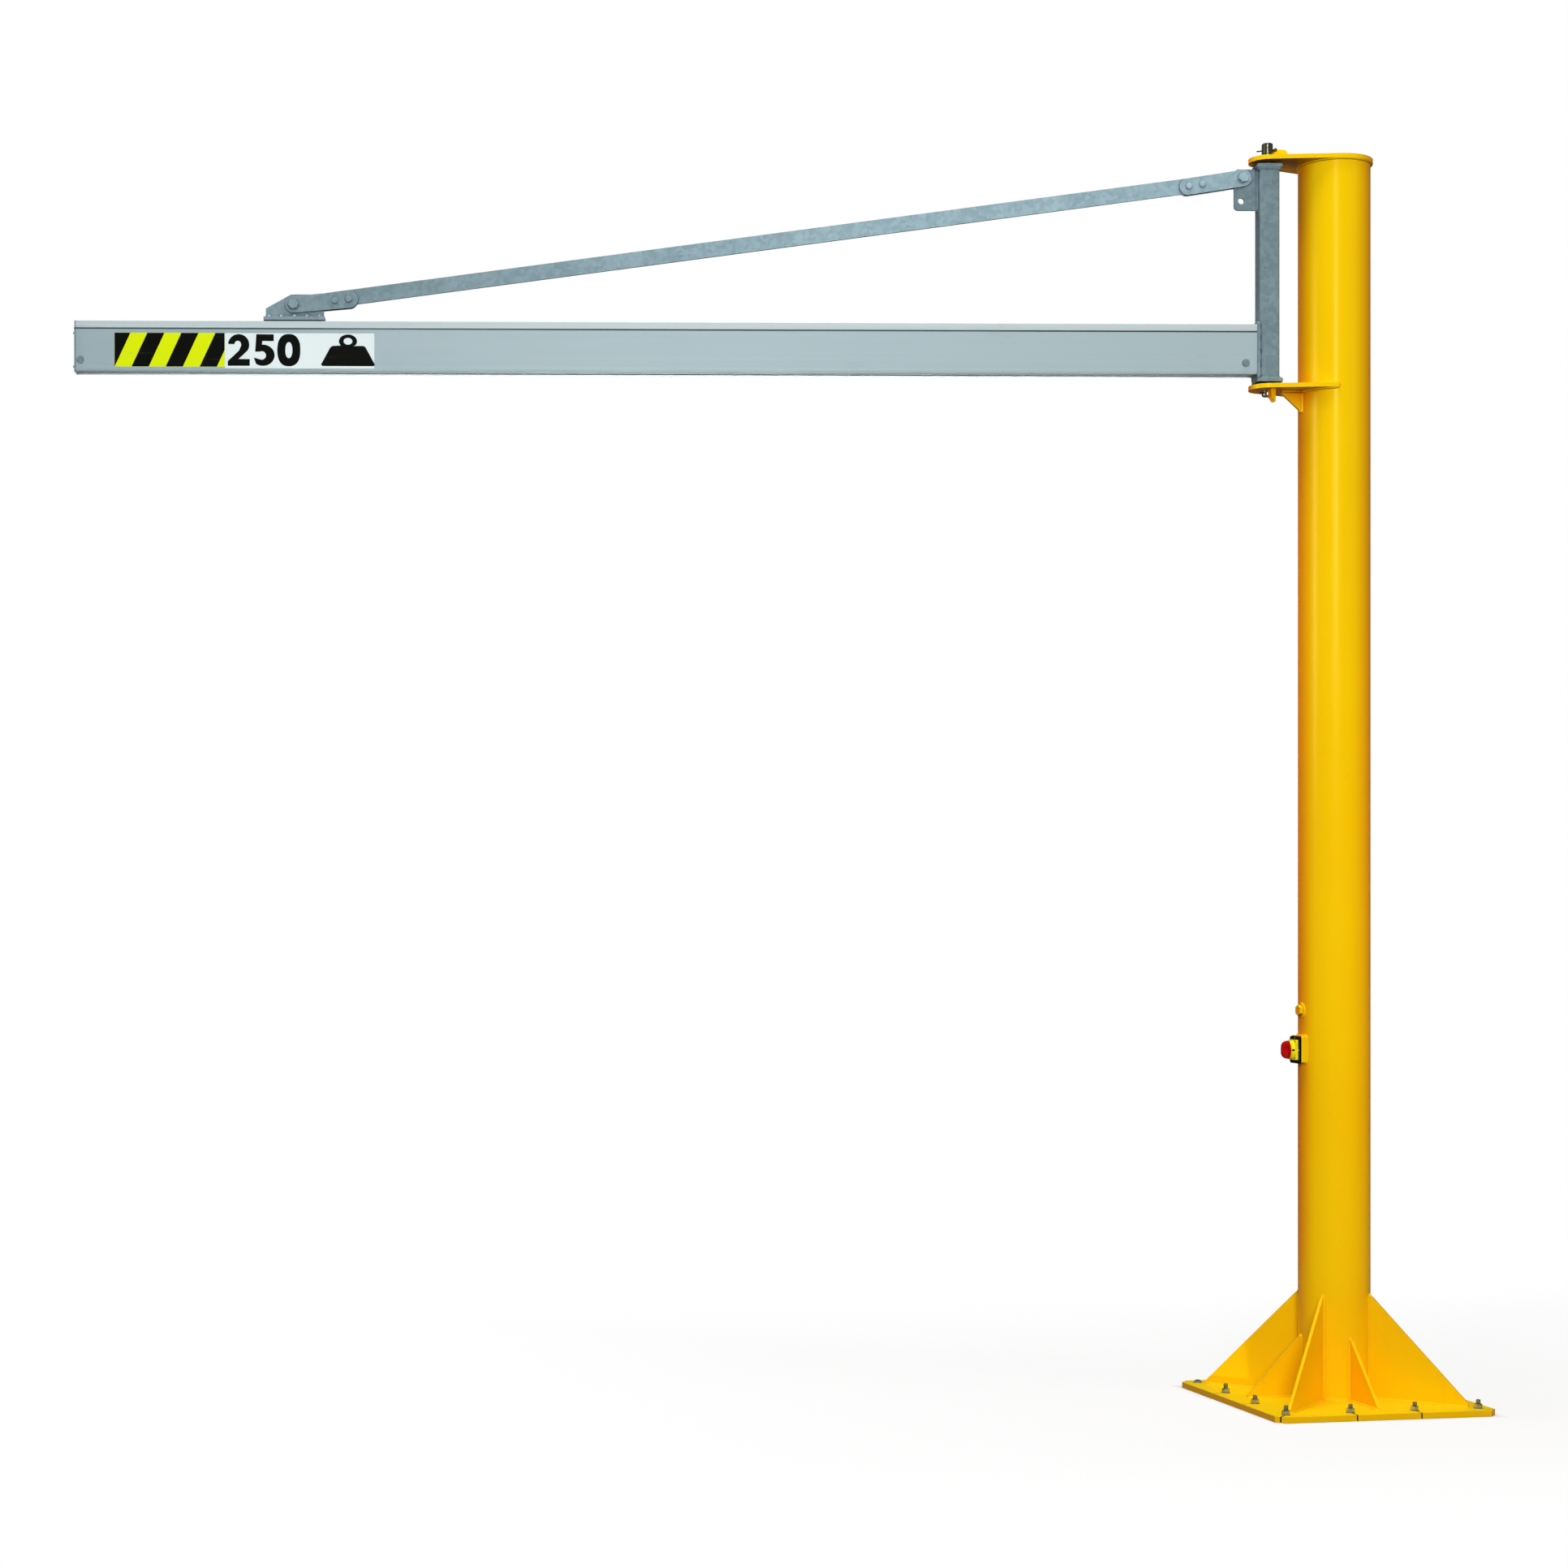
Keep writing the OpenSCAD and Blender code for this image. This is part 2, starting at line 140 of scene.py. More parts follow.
class Value:
    """A number socket. Arithmetic on it adds the Math nodes that it stands for."""

    def __init__(self, finish, socket):
        self.finish = finish
        self.socket = socket

    def math(self, operation, *terms):
        return self.finish.value("ShaderNodeMath", {"operation": operation},
                                 dict(enumerate(terms)))

    def __add__(self, other):
        return self.math("ADD", self, other)

    def __radd__(self, other):
        return self.math("ADD", other, self)

    def __sub__(self, other):
        return self.math("SUBTRACT", self, other)

    def __rsub__(self, other):
        return self.math("SUBTRACT", other, self)

    def __mul__(self, other):
        return self.math("MULTIPLY", self, other)

    def __rmul__(self, other):
        return self.math("MULTIPLY", other, self)

    def __lt__(self, other):
        return self.math("LESS_THAN", self, other)

    def __abs__(self):
        return self.math("ABSOLUTE", self)


FINISHES = {}


class Finish:
    """One material, or the world, and the nodes behind it."""

    def __init__(self, name, holders=bpy.data.materials):
        self.material = FINISHES[name] = holders.new(f"{name}_finish")
        self.material.use_nodes = True
        self.tree = self.material.node_tree
        self.tree.nodes.clear()
        self.place = self.add("ShaderNodeTexCoord").outputs["Object"]

    def add(self, kind, settings=None, inputs=None):
        """Adds a node: its type, then its settings, then its sockets' values or links."""
        node = self.tree.nodes.new(kind)
        for key, value in (settings or {}).items():
            setattr(node, key, value)
        for key, value in (inputs or {}).items():
            if isinstance(value, Value):
                value = value.socket
            if isinstance(value, bpy.types.NodeSocket):
                self.tree.links.new(value, node.inputs[key])
            else:
                node.inputs[key].default_value = value
        return node

    def value(self, kind, settings=None, inputs=None, output=0):
        return Value(self, self.add(kind, settings, inputs).outputs[output])

    def noise(self, where, scale, detail=2.0, roughness=0.5, distortion=0.0):
        return self.value("ShaderNodeTexNoise", {}, {
            "Vector": where, "Scale": scale, "Detail": detail,
            "Roughness": roughness, "Distortion": distortion}, "Fac")

    def ease(self, value, start, end, low=0.0, high=1.0):
        """Smooth step of a value from low at start to high at end."""
        return self.value("ShaderNodeMapRange", {"interpolation_type": "SMOOTHSTEP"}, {
            "Value": value, "From Min": start, "From Max": end, "To Min": low, "To Max": high})

    def mix(self, factor, first, second):
        return self.add("ShaderNodeMix", {"data_type": "RGBA"},
                        {0: factor, 6: first, 7: second}).outputs[2]

    def coats(self, colour, *layers):
        """Lays (mask, colour) layers over a colour, one after another."""
        for mask, over in layers:
            colour = self.mix(mask, colour, over)
        return colour

    def stretch(self, where, *factors):
        return self.add("ShaderNodeMapping", {}, {"Vector": where, "Scale": factors}).outputs[0]

    def split(self, where):
        node = self.add("ShaderNodeSeparateXYZ", {}, {0: where})
        return [Value(self, s) for s in node.outputs]

    def in_jib_frame(self):
        """The row frame's coordinates turned into the jib's own."""
        moved = self.add("ShaderNodeVectorMath", {"operation": "SUBTRACT"},
                         {0: self.place, 1: HINGE}).outputs[0]
        return self.add("ShaderNodeVectorRotate", {"rotation_type": "Z_AXIS"},
                        {"Vector": moved, "Angle": -JIB_TURN}).outputs[0]

    def facing(self):
        return self.split(self.add("ShaderNodeNewGeometry").outputs["True Normal"])

    def edges(self, radius):
        """Near 0 on flat surfaces and rising towards sharp edges and corners."""
        rounded = self.add("ShaderNodeBevel", {"samples": 4}, {"Radius": radius}).outputs[0]
        flat = self.add("ShaderNodeNewGeometry").outputs["Normal"]
        return 1 - self.value("ShaderNodeVectorMath", {"operation": "DOT_PRODUCT"},
                              {0: rounded, 1: flat}, "Value")

    def crevice(self, distance, samples=6):
        """Near 0 in the open and rising towards 1 in corners and under neighbours."""
        return 1 - self.value("ShaderNodeAmbientOcclusion", {"samples": samples},
                              {"Distance": distance}, "AO")

    def scratches(self, where, scale, along, width, amount):
        """Thin lines where a stretched noise crosses its middle, kept only in some places."""
        lines = abs(self.noise(self.stretch(where, *along), scale, 2.0, 0.55, 0.6) - 0.5)
        thin = self.ease(lines, width, 0.0)
        kept = self.ease(self.noise(where, scale * 0.6, 1.0), 1.0 - amount, 1.06 - amount)
        return thin * kept

    def surface(self, relief, depth, strength, **inputs):
        """Closes the material with a bumped Principled surface; names use _ for a space."""
        named = {key.replace("_", " "): value for key, value in inputs.items()}
        named["Normal"] = self.add("ShaderNodeBump", {}, {
            "Height": relief, "Distance": depth, "Strength": strength}).outputs[0]
        shader = self.add("ShaderNodeBsdfPrincipled", {}, named)
        self.add("ShaderNodeOutputMaterial", {}, {"Surface": shader.outputs[0]})


# ---- finishes --------------------------------------------------------------


def pillar_paint(look):
    """Gloss enamel on the welded pillar: unevenness, dust, worn edges, painted shade and painted highlights."""
    f = Finish("pillar_paint")
    broad = f.noise(f.place, 1.4, 3.0, 0.55)
    mottle = f.noise(f.place, 21.0, 5.0, 0.6)
    runs = f.noise(f.stretch(f.place, 9.0, 9.0, 0.5), 1.0, 4.0, 0.6)
    specks = f.noise(f.place, 60.0, 4.0, 0.7)
    x, y, height = f.split(f.place)
    east, north, up = f.facing()
    edge = f.edges(0.003)

    # dust settles on flat tops, and floor dirt splashes up the foot; a deeper orange low down is painted shade
    top = f.ease(up, 0.6, 0.98)
    dust = top * f.ease(broad, 0.35, 0.75) * look.dust
    splash = (1 - top) * f.ease(height, 0.16, 0.0) * f.ease(mottle + specks, 1.15, 1.5) * look.dust
    foot = f.ease(height, 0.50, 0.30) * (1 - top)
    # an orange shade tone on the side set in the panel, and a fainter one across from it
    shaded = heading(look.shaded_side)
    side = east * shaded.x + north * shaded.y
    opposite = f.ease(side, -0.5, -1.0) * f.ease(height, 0.5, 2.4)
    deep = f.ease(side, 0.50, 0.98) * f.ease(height, 0.35, 0.60, 0.25, 0.65) + opposite * 0.4
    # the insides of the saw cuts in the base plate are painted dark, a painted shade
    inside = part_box("base_plate")[1].x - 0.003
    cut_shade = f.ease(height, FOOT_TOP, FOOT_TOP - 0.001) * f.ease(up, 0.5, 0.1)
    cut_shade = cut_shade * (abs(x) < inside) * (abs(y) < inside)
    cut_shade = cut_shade * (abs(x) + abs(y) < 2 * inside - 0.026)
    # painted shade in brown: close under the lower bracket, in the corners around the foot and along the joints
    under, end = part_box("lower_bracket")[0].z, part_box("lower_bracket")[1].x
    close = f.ease(height, under - 0.09, under - 0.005) * (height < under + 0.0005)
    close = close * f.ease(x, end, end - 0.09)
    foot_corner_shade = f.ease(f.crevice(0.13, 8), 0.22, 0.85) * (1 - top) * f.ease(
        height, 0.35, 0.55, 0.12, 0.5)
    joint_shade = f.ease(f.crevice(0.02), 0.35, 0.95) * 0.55
    # sharp edges are paler, partly a thin worn coat and partly a painted highlight, and a few chips show primer
    worn = f.ease(edge + (mottle - 0.5) * 0.10, 0.05, 0.16)
    chips = f.ease(edge, 0.02, 0.07) * f.ease(specks, 0.70, 0.73)

    colour = f.coats(
        f.mix(f.ease(broad, 0.3, 0.7), tuple(look.paint_deep) + (1.0,),
              tuple(look.paint_colour) + (1.0,)),
        (f.ease(runs, 0.55, 0.8) * 0.10, srgb(205, 138, 4)),
        (f.ease(mottle, 0.62, 0.8) * 0.12, srgb(214, 150, 8)),
        # a deeper orange near the foot, a painted shade
        (foot * 0.35, srgb(240, 172, 3)),
        # flat tops are painted a paler yellow, a painted highlight
        (top * 0.6, srgb(250, 228, 14)),
        (deep, srgb(255, 134, 0)),
        (dust * 0.2, srgb(250, 214, 70)),
        (splash * 0.5, srgb(170, 120, 30)),
        # the saw cuts' inner faces are painted dark, a painted shade
        (cut_shade * 0.95, srgb(48, 30, 6)),
        # painted shade in brown under the bracket, in the foot's corners and along joints
        (close * 0.55, srgb(196, 92, 0)),
        (foot_corner_shade, srgb(196, 92, 0)),
        (joint_shade, srgb(138, 66, 1)),
        # undersides take a dark shade tone
        (f.ease(up, -0.5, -0.9) * 0.85, srgb(88, 42, 1)),
        # paler sharp edges: a thin worn coat and a painted highlight
        (worn * 0.30, srgb(255, 226, 92)),
        (chips * look.wear, srgb(118, 96, 78)))
    peel = f.noise(f.place, 240.0, 1.0)
    sag = f.noise(f.stretch(f.place, 1.0, 1.0, 0.35), 26.0, 2.0)
    f.surface((peel * 0.25 + sag * 0.75) * (1 - 0.85 * top) - chips * look.wear, 0.0006, 0.35,
              Base_Color=colour, Specular_IOR_Level=0.5, Specular_Tint=(1.0, 0.90, 0.26, 1.0),
              Roughness=0.20 + 0.07 * mottle + 0.25 * top + 0.3 * splash + 0.3 * chips,
              Sheen_Weight=0.35, Sheen_Roughness=0.35, Sheen_Tint=(1.0, 0.36, 0.0, 1.0))


def galvanised(name, tone, patchy, seam=None, dull=0.0):
    """Hot-dip zinc: crystal spangle, dull patches, pale bloom, a few scratches, painted edge highlights and
    painted shade.
    """
    f = Finish(name)
    warped = f.noise(f.place, 30.0, 2.0)
    crystal = f.add("ShaderNodeTexVoronoi", {}, {"Vector": f.place, "Scale": 70.0})
    facet = f.split(crystal.outputs["Color"])[0]
    grain = f.noise(f.place, 210.0, 4.0, 0.7)
    patch = f.noise(f.place, 9.0, 4.0, 0.6)
    cloud = f.noise(f.stretch(f.place, 1.0, 1.0, 0.4), 3.0, 3.0)
    lengthwise = f.scratches(f.place, 5.0, (1.0, 1.0, 5.0), 0.006, 0.42)
    marks = lengthwise * 0.6 + f.scratches(f.place, 7.0, (3.0, 3.0, 0.8), 0.005, 0.36) * 0.6

    base, dark, pale = (srgb(*c, tone) for c in (
        (129, 152, 161), (101, 123, 133), (166, 182, 187)))
    colour = f.coats(
        base,
        (f.ease(facet * 0.6 + warped * 0.4, 0.2, 0.8) * 0.5, dark),
        (f.ease(patch, 0.42, 0.7) * patchy, dark),
        (f.ease(cloud, 0.5, 0.75) * 0.16, pale),
        (f.ease(grain, 0.55, 0.8) * 0.35, pale),
        (f.ease(grain, 0.45, 0.2) * 0.35, dark),
        (marks * 0.5, srgb(70, 84, 92)),
        # paler edges: worn zinc and a painted highlight
        (f.ease(f.edges(0.003), 0.02, 0.12) * 0.7, pale),
        # painted shade in corners and close under neighbouring parts
        (f.ease(f.crevice(0.018), 0.12, 0.55) * 0.85, srgb(44, 56, 62)))
    # faces below the given height are painted dark, a painted shade in the gap under the tie foot
    if seam:
        below = f.ease(f.split(f.place)[2], seam + 0.0006, seam - 0.0002)
        colour = f.mix(below * 0.85, colour, srgb(38, 50, 54))
    if dull:
        # a darker tone farther out along the jib
        out = f.split(f.in_jib_frame())[0]
        colour = f.mix(f.ease(out, 0.9, 3.5) * dull, colour, srgb(44, 58, 64))
    f.surface(facet * 0.12 + grain * 0.5 + patch * 0.8 - marks * 0.5, 0.0005, 0.4,
              Base_Color=colour, Metallic=0.30, Roughness=0.46 + 0.16 * patch + 0.06 * facet)


def beam_aluminium():
    """Anodised extrusion: die lines along the jib, pale flanges, a darker tone to the tip."""
    f = Finish("beam_aluminium")
    where = f.in_jib_frame()
    out, across, height = f.split(where)
    low, high = turned_box("beam")
    die = f.noise(f.stretch(where, 0.25, 260.0, 260.0), 1.0, 3.0, 0.6)
    fine = f.noise(f.stretch(where, 3.0, 900.0, 900.0), 1.0, 2.0)
    cloud = f.noise(f.stretch(where, 0.7, 4.0, 4.0), 1.0, 4.0, 0.6)
    smear = f.noise(f.stretch(where, 5.0, 12.0, 22.0), 1.0, 5.0, 0.65)
    rubs = f.scratches(where, 2.2, (0.8, 6.0, 6.0), 0.006, 0.42)

    tip = f.ease(out, high.x - 2.3, high.x)
    rims = f.ease(height, high.z - 0.030, high.z - 0.026) + f.ease(
        height, low.z + 0.002, low.z + 0.001)
    # the groove near the top is painted dark, a painted shade
    groove_shade = f.ease(abs(height - high.z + 0.027), 0.0038, 0.0022)
    # the lip on the track's near side is painted dark, a painted shade, and the track's inside pale, a painted
    # light
    lip_shade = f.ease(height, low.z + 0.0026, low.z + 0.0014) * f.ease(across, 0.013, 0.017)
    inner = (height < low.z + 0.0065) * (abs(across) < 0.0125)
    joint_line = f.ease(abs(out - high.x - 0.0002), 0.0024, 0.0012)
    colour = f.coats(
        srgb(184, 205, 211),
        (tip * 0.32, srgb(128, 150, 158)),
        (rims, f.mix(tip * 0.05, srgb(211, 225, 228), srgb(128, 150, 158))),
        (groove_shade + lip_shade * 0.85, srgb(60, 78, 85)),
        (inner * 0.8, srgb(240, 246, 247)),
        (joint_line * 0.75, srgb(46, 58, 62)),
        (f.ease(die, 0.3, 0.7) * 0.14, srgb(150, 172, 179)),
        (f.ease(cloud, 0.45, 0.75) * 0.22, srgb(196, 210, 213)),
        (f.ease(smear, 0.58, 0.78) * 0.16, srgb(136, 156, 163)),
        (rubs * 0.4, srgb(112, 130, 137)),
        (f.ease(f.edges(0.0025), 0.03, 0.15) * 0.35, srgb(226, 234, 235)))
    f.surface(die * 0.6 + fine * 0.4 - rubs * 0.5, 0.0002, 0.3, Base_Color=colour,
              Metallic=0.25, Roughness=0.40 + 0.10 * smear + 0.06 * die,
              Specular_IOR_Level=0.35)


def passivated_zinc(name, tone, metallic, rough):
    """Yellow-passivated plating on fixings, with its uneven iridescence, painted highlights on edges and painted
    shade in crevices and on tops.
    """
    f = Finish(name)
    drift = f.noise(f.place, 24.0, 3.0)
    tint = f.noise(f.place, 90.0, 3.0)
    grime = f.noise(f.place, 160.0, 4.0, 0.7)
    colour = f.coats(
        srgb(206, 198, 140, tone),
        (f.ease(drift, 0.35, 0.65), srgb(188, 200, 170, tone)),
        (f.ease(tint, 0.52, 0.7) * 0.5, srgb(222, 196, 160, tone)),
        (f.ease(grime, 0.6, 0.8) * 0.35, srgb(84, 80, 62, tone)),
        # pale edges, a painted highlight
        (f.ease(f.edges(0.001), 0.03, 0.2) * 0.6, srgb(248, 250, 226)),
        # painted shade in crevices and at the foot of heads and nuts
        (f.ease(f.crevice(0.010), 0.30, 0.75) * 0.9, srgb(30, 26, 10)),
        # faces turned up are painted darker, a painted shade
        (f.ease(f.facing()[2], 0.35, 0.8) * 0.5, srgb(92, 90, 56)))
    f.surface(grime, 0.0001, 0.15, Base_Color=colour, Metallic=metallic,
              Roughness=rough + 0.1 * grime)


def bright_zinc(name, tone, metallic, blue=0.0):
    """Clear-passivated screws and bolts."""
    f = Finish(name)
    drift = f.noise(f.place, 60.0, 3.0)
    grime = f.noise(f.place, 220.0, 4.0, 0.7)

    def tinted(*tint):
        pairs = zip(srgb(*tint, tone), srgb(100, 160, 170))
        return tuple(a * (1 - blue) + b * blue for a, b in pairs)

    colour = f.coats(
        tinted(200, 216, 222),
        (drift, tinted(178, 196, 206)),
        (f.ease(grime, 0.6, 0.8) * 0.5, srgb(110, 120, 124, tone)),
        # pale edges and rims, a painted highlight
        (f.ease(f.edges(0.0012), 0.03, 0.2) * 0.8, srgb(236, 244, 246)),
        # painted shade round the foot of heads and washers
        (f.ease(f.crevice(0.006), 0.2, 0.6) * 0.9, srgb(30, 36, 40)))
    f.surface(grime, 0.0002, 0.3, Base_Color=colour, Metallic=metallic,
              Roughness=0.24 + 0.25 * grime)


def greased_steel():
    """Dark bearing steel with a smear of old grease."""
    f = Finish("greased_steel")
    smear = f.noise(f.stretch(f.place, 1.0, 1.0, 3.0), 45.0, 4.0, 0.6)
    grit = f.noise(f.place, 300.0, 3.0)
    colour = f.coats(
        srgb(40, 44, 48),
        (f.ease(smear, 0.4, 0.7), srgb(74, 80, 84)),
        (f.ease(grit, 0.6, 0.75) * 0.5, srgb(24, 20, 14)))
    f.surface(smear + grit * 0.3, 0.0004, 0.4, Base_Color=colour, Metallic=0.8,
              Roughness=0.22 + 0.4 * smear)


def moulded(name, colour, deep, rough, dirt, rub):
    """Injection-moulded plastic: fine spark texture, rubbed edges, dirt in the hollows."""
    f = Finish(name)
    spark = f.noise(f.place, 900.0, 2.0)
    shade = f.noise(f.place, 35.0, 3.0)
    rubbed = f.ease(f.edges(0.0015) + (spark - 0.5) * 0.05, 0.05, 0.2)
    mixed = f.coats(
        colour,
        (f.ease(shade, 0.35, 0.75) * 0.5, deep),
        (f.ease(shade + spark * 0.3, 0.75, 0.95) * dirt, srgb(60, 48, 30)),
        (rubbed * rub, srgb(255, 240, 210)))
    f.surface(spark, 0.00008, 0.5, Base_Color=mixed, Specular_IOR_Level=0.25,
              Roughness=rough + 0.12 * spark - 0.08 * rubbed)


def vinyl(name, colour, aged, worn):
    """Self-adhesive film: slight fading, scuffs, nicks and a few bubbles."""
    f = Finish(name)
    where = f.in_jib_frame()
    fade = f.noise(f.place, 6.0, 3.0)
    scuff = f.noise(f.stretch(where, 3.0, 40.0, 40.0), 1.0, 5.0, 0.7)
    bubble = f.noise(f.place, 75.0, 1.0)
    nicks = f.scratches(where, 9.0, (1.0, 1.0, 3.0), 0.003, 0.30)
    mixed = f.coats(
        colour,
        (f.ease(fade, 0.3, 0.8) * 0.35, aged),
        (f.ease(scuff, 0.60, 0.8) * worn, srgb(132, 138, 132)),
        (nicks * worn, srgb(150, 156, 150)))
    f.surface(f.ease(bubble, 0.68, 0.8) * 0.8 + scuff * 0.2, 0.0004, 0.4, Base_Color=mixed,
              Roughness=0.36 + 0.2 * scuff, Specular_IOR_Level=0.15)


# ---- shapes ----------------------------------------------------------------


def polar(radius, angle, height):
    return (radius * math.cos(angle), radius * math.sin(angle), height)


class Shape:
    """Vertices and faces of one piece, in metres, while it is put together."""

    def __init__(self):
        self.points = []
        self.faces = []
        self.kinds = []

    def face(self, corners, kind=0):
        self.faces.append(tuple(corners))
        self.kinds.append(kind)

    def grid(self, rows, closed=False):
        """Skins rings of equally many points. closed joins the last to the first."""
        first, n = len(self.points), len(rows[0])
        for row in rows:
            self.points.extend(Vector(p) for p in row)
        for r in range(len(rows) if closed else len(rows) - 1):
            here, there = first + r * n, first + (r + 1) % len(rows) * n
            for c in range(n):
                d = (c + 1) % n
                self.face((here + c, here + d, there + d, there + c))
        if not closed:
            self.face(range(first + n - 1, first - 1, -1))
            self.face(range(first + (len(rows) - 1) * n, first + len(rows) * n))

    def lathe(self, profile, steps, closed=False):
        """Turns (radius, height) points about z."""
        self.grid([[polar(r, TAU * i / steps, z) for i in range(steps)] for r, z in profile],
                  closed)

    def prism(self, outline, low, high):
        """Closed flat outline of (x, y) points raised from low to high."""
        self.grid([[(x, y, z) for x, y in outline] for z in (low, high)])

    def hexagon(self, flats, low, high, both_chamfers=True):
        """Hexagon prism with the turned 30 degree chamfer of a nut or bolt head."""
        rim, drop, sixth, steps = flats * 0.485, math.tan(math.pi / 6), math.pi / 3, 48
        spokes = [(flats / 2 / math.cos((a + sixth / 2) % sixth - sixth / 2), a)
                  for a in (TAU * i / steps for i in range(steps))]

        def inner(height):
            return [polar(min(rim, r), a, height) for r, a in spokes]

        def outer(height, side):
            return [polar(r, a, height - side * max(0.0, r - rim) * drop) for r, a in spokes]

        start = [inner(low), outer(low, -1)] if both_chamfers else [outer(low, 0)]
        self.grid(start + [outer(high, 1), inner(high)])

    def thread(self, radius, low, high):
        """Threaded shank whose crests follow a helix, with a chamfered end at high."""
        pitch, steps, tip = radius / 4, 24, 0.0015
        count = max(2, round((high - low) / (pitch / 6)))
        rows = []
        for k in range(count + 1):
            z = low + (high - low) * k / count
            end = radius - max(0.0, z - (high - tip))
            rows.append([polar(
                end - pitch / 2 * abs(2 * ((z / pitch - i / steps) % 1.0) - 1),
                TAU * i / steps, z) for i in range(steps)])
        self.grid(rows)

    def bead(self, path, legs, size, seed, closed=False, pitch=0.0042, bulge=0.28):
        """Rippled fillet weld. legs holds, per point, the two directions its toes run along."""
        sweep, total, rows = 5, 0.0, []
        gaps = [0.0] + [(b - a).length for a, b in zip(path, path[1:])]
        length = sum(gaps)
        offset = random.Random(seed).uniform(0, 9)
        for point, (a, b), gap in zip(path, legs, gaps):
            total += gap
            taper = 1.0
            if not closed:
                end = min(total, length - total) / (size * 1.2)
                taper = 0.35 + 0.65 * min(1.0, end) ** 0.5
            drift = 1 + 0.10 * noise.noise((total * 90, seed * 3.1, offset))
            row = [point - (a + b) * size * 0.25]
            for k in range(sweep + 1):
                t = k / sweep
                arch = 4 * t * (1 - t)
                wave = abs(math.sin(math.pi * (total + size * 0.45 * arch) / pitch)) ** 0.7
                s = size * taper * drift * (1 + 0.09 * (wave - 0.5))
                row.append(point + (a * (1 - t) + b * t) * s * (1 + bulge * arch))
            rows.append(row)
        self.grid(rows, closed)

    def seam(self, start, end, toes, size, seed, step=BEAD_STEP, **ripple):
        """Straight fillet weld between two points."""
        path = line(Vector(start), Vector(end), step)
        self.bead(path, [toes] * len(path), size, seed, **ripple)

    def add(self, other, matrix):
        first = len(self.points)
        self.points += [matrix @ p for p in other.points]
        for corners in other.faces:
            self.face([first + c for c in corners])

    def build(self, name, finishes, body, slot, matrix=Matrix(), smooth=35.0):
        """Makes the object, shades it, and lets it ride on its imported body."""
        mesh = bpy.data.meshes.new(name)
        mesh.from_pydata([matrix @ p for p in self.points], [], self.faces)
        mesh.polygons.foreach_set("material_index", self.kinds)
        work = bmesh.new()
        work.from_mesh(mesh)
        bmesh.ops.recalc_face_normals(work, faces=work.faces)
        work.to_mesh(mesh)
        work.free()
        for finish in finishes:
            mesh.materials.append(FINISHES[finish])
        mesh.shade_smooth()
        mesh.set_sharp_from_angle(angle=math.radians(smooth))
        mesh.validate()
        piece = bpy.data.objects.new(name, mesh)
        bpy.context.scene.collection.objects.link(piece)
        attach(piece, body)
        return piece


def line(start, end, step=BEAD_STEP):
    count = max(2, round((end - start).length / step))
    return [start.lerp(end, k / count) for k in range(count + 1)]


def at(spot, out=UP, spin=0.0):
    """Moves to a spot and takes z to a direction, after a turn about z."""
    return (Matrix.Translation(spot) @ out.to_track_quat("Z", "Y").to_matrix().to_4x4()
            @ Matrix.Rotation(spin, 4, "Z"))


# ---- settings --------------------------------------------------------------


class CraneLook(bpy.types.PropertyGroup):
    """Colours and wear of the finishes."""

    paint_colour: FloatVectorProperty(
        name="Pillar paint", description="Colour of the pillar's enamel", subtype="COLOR",
        size=3, min=0, max=1, default=srgb(247, 204, 5)[:3])
    paint_deep: FloatVectorProperty(
        name="Pillar paint, thin", description="Colour where the enamel lies thinner",
        subtype="COLOR", size=3, min=0, max=1, default=srgb(246, 197, 3)[:3])
    dust: FloatProperty(
        name="Dust", description="Share of dust and splashed dirt", subtype="FACTOR",
        min=0, max=1, default=0.35)
    wear: FloatProperty(
        name="Chips", description="Share of chipped paint on sharp edges", subtype="FACTOR",
        min=0, max=1, default=0.55)
    shaded_side: FloatProperty(
        name="Shaded side", description="Direction of the pillar's side with the orange shade tone",
        subtype="ANGLE", default=math.radians(153))
    zinc_tone: FloatProperty(
        name="Zinc tone", description="Gain on the galvanised hinge post's colour",
        min=0.3, max=2.0, default=1.18)
    tie_tone: FloatProperty(
        name="Tie tone", description="Gain on the galvanised tie's colour",
        min=0.3, max=2.0, default=1.95)


class CraneFixings(bpy.types.PropertyGroup):
    """Sizes of the anchors, bolts, screws and welds."""

    anchor_size: FloatProperty(
        name="Anchor size", description="Thread diameter of the floor anchors", unit="LENGTH",
        default=0.016, min=0.008, max=0.017)
    anchor_stand: FloatProperty(
        name="Stud above nut", description="Length of an anchor's stud above its nut",
        unit="LENGTH", default=0.016, min=0.0, max=0.04)
    link_bolt: FloatProperty(
        name="Link bolt size", description="Thread diameter of the tie's link bolts",
        unit="LENGTH", default=0.012, min=0.008, max=0.016)
    foot_screws: IntProperty(
        name="Foot screws", description="Screws along each side of the tie foot",
        default=5, min=2, max=8)
    weld_leg: FloatProperty(
        name="Weld leg", description="Leg length of the structural fillet welds",
        unit="LENGTH", default=0.006, min=0.003, max=0.01)


class CraneMarkings(bpy.types.PropertyGroup):
    """The striped tape and the load sign, on both sides of the beam."""

    tape_end: FloatProperty(
        name="Tape setback", description="Gap from the beam's free end to the tape",
        unit="LENGTH", default=0.134, min=0.02, max=1.0)
    tape_length: FloatProperty(
        name="Tape length", description="Length of the striped tape", unit="LENGTH",
        default=0.379, min=0.1, max=1.5)
    tape_height: FloatProperty(
        name="Tape height", description="Height of the tape and of the sign", unit="LENGTH",
        default=0.117, min=0.05, max=0.13)
    stripe: FloatProperty(
        name="Stripe", description="Width of one stripe along the tape", unit="LENGTH",
        default=0.0585, min=0.02, max=0.2)
    sign_length: FloatProperty(
        name="Sign length", description="Length of the load sign", unit="LENGTH",
        default=0.514, min=0.2, max=1.5)
    number: StringProperty(
        name="Number", description="Plain number on the load sign, from the digits 0, 2 and 5",
        default="250")


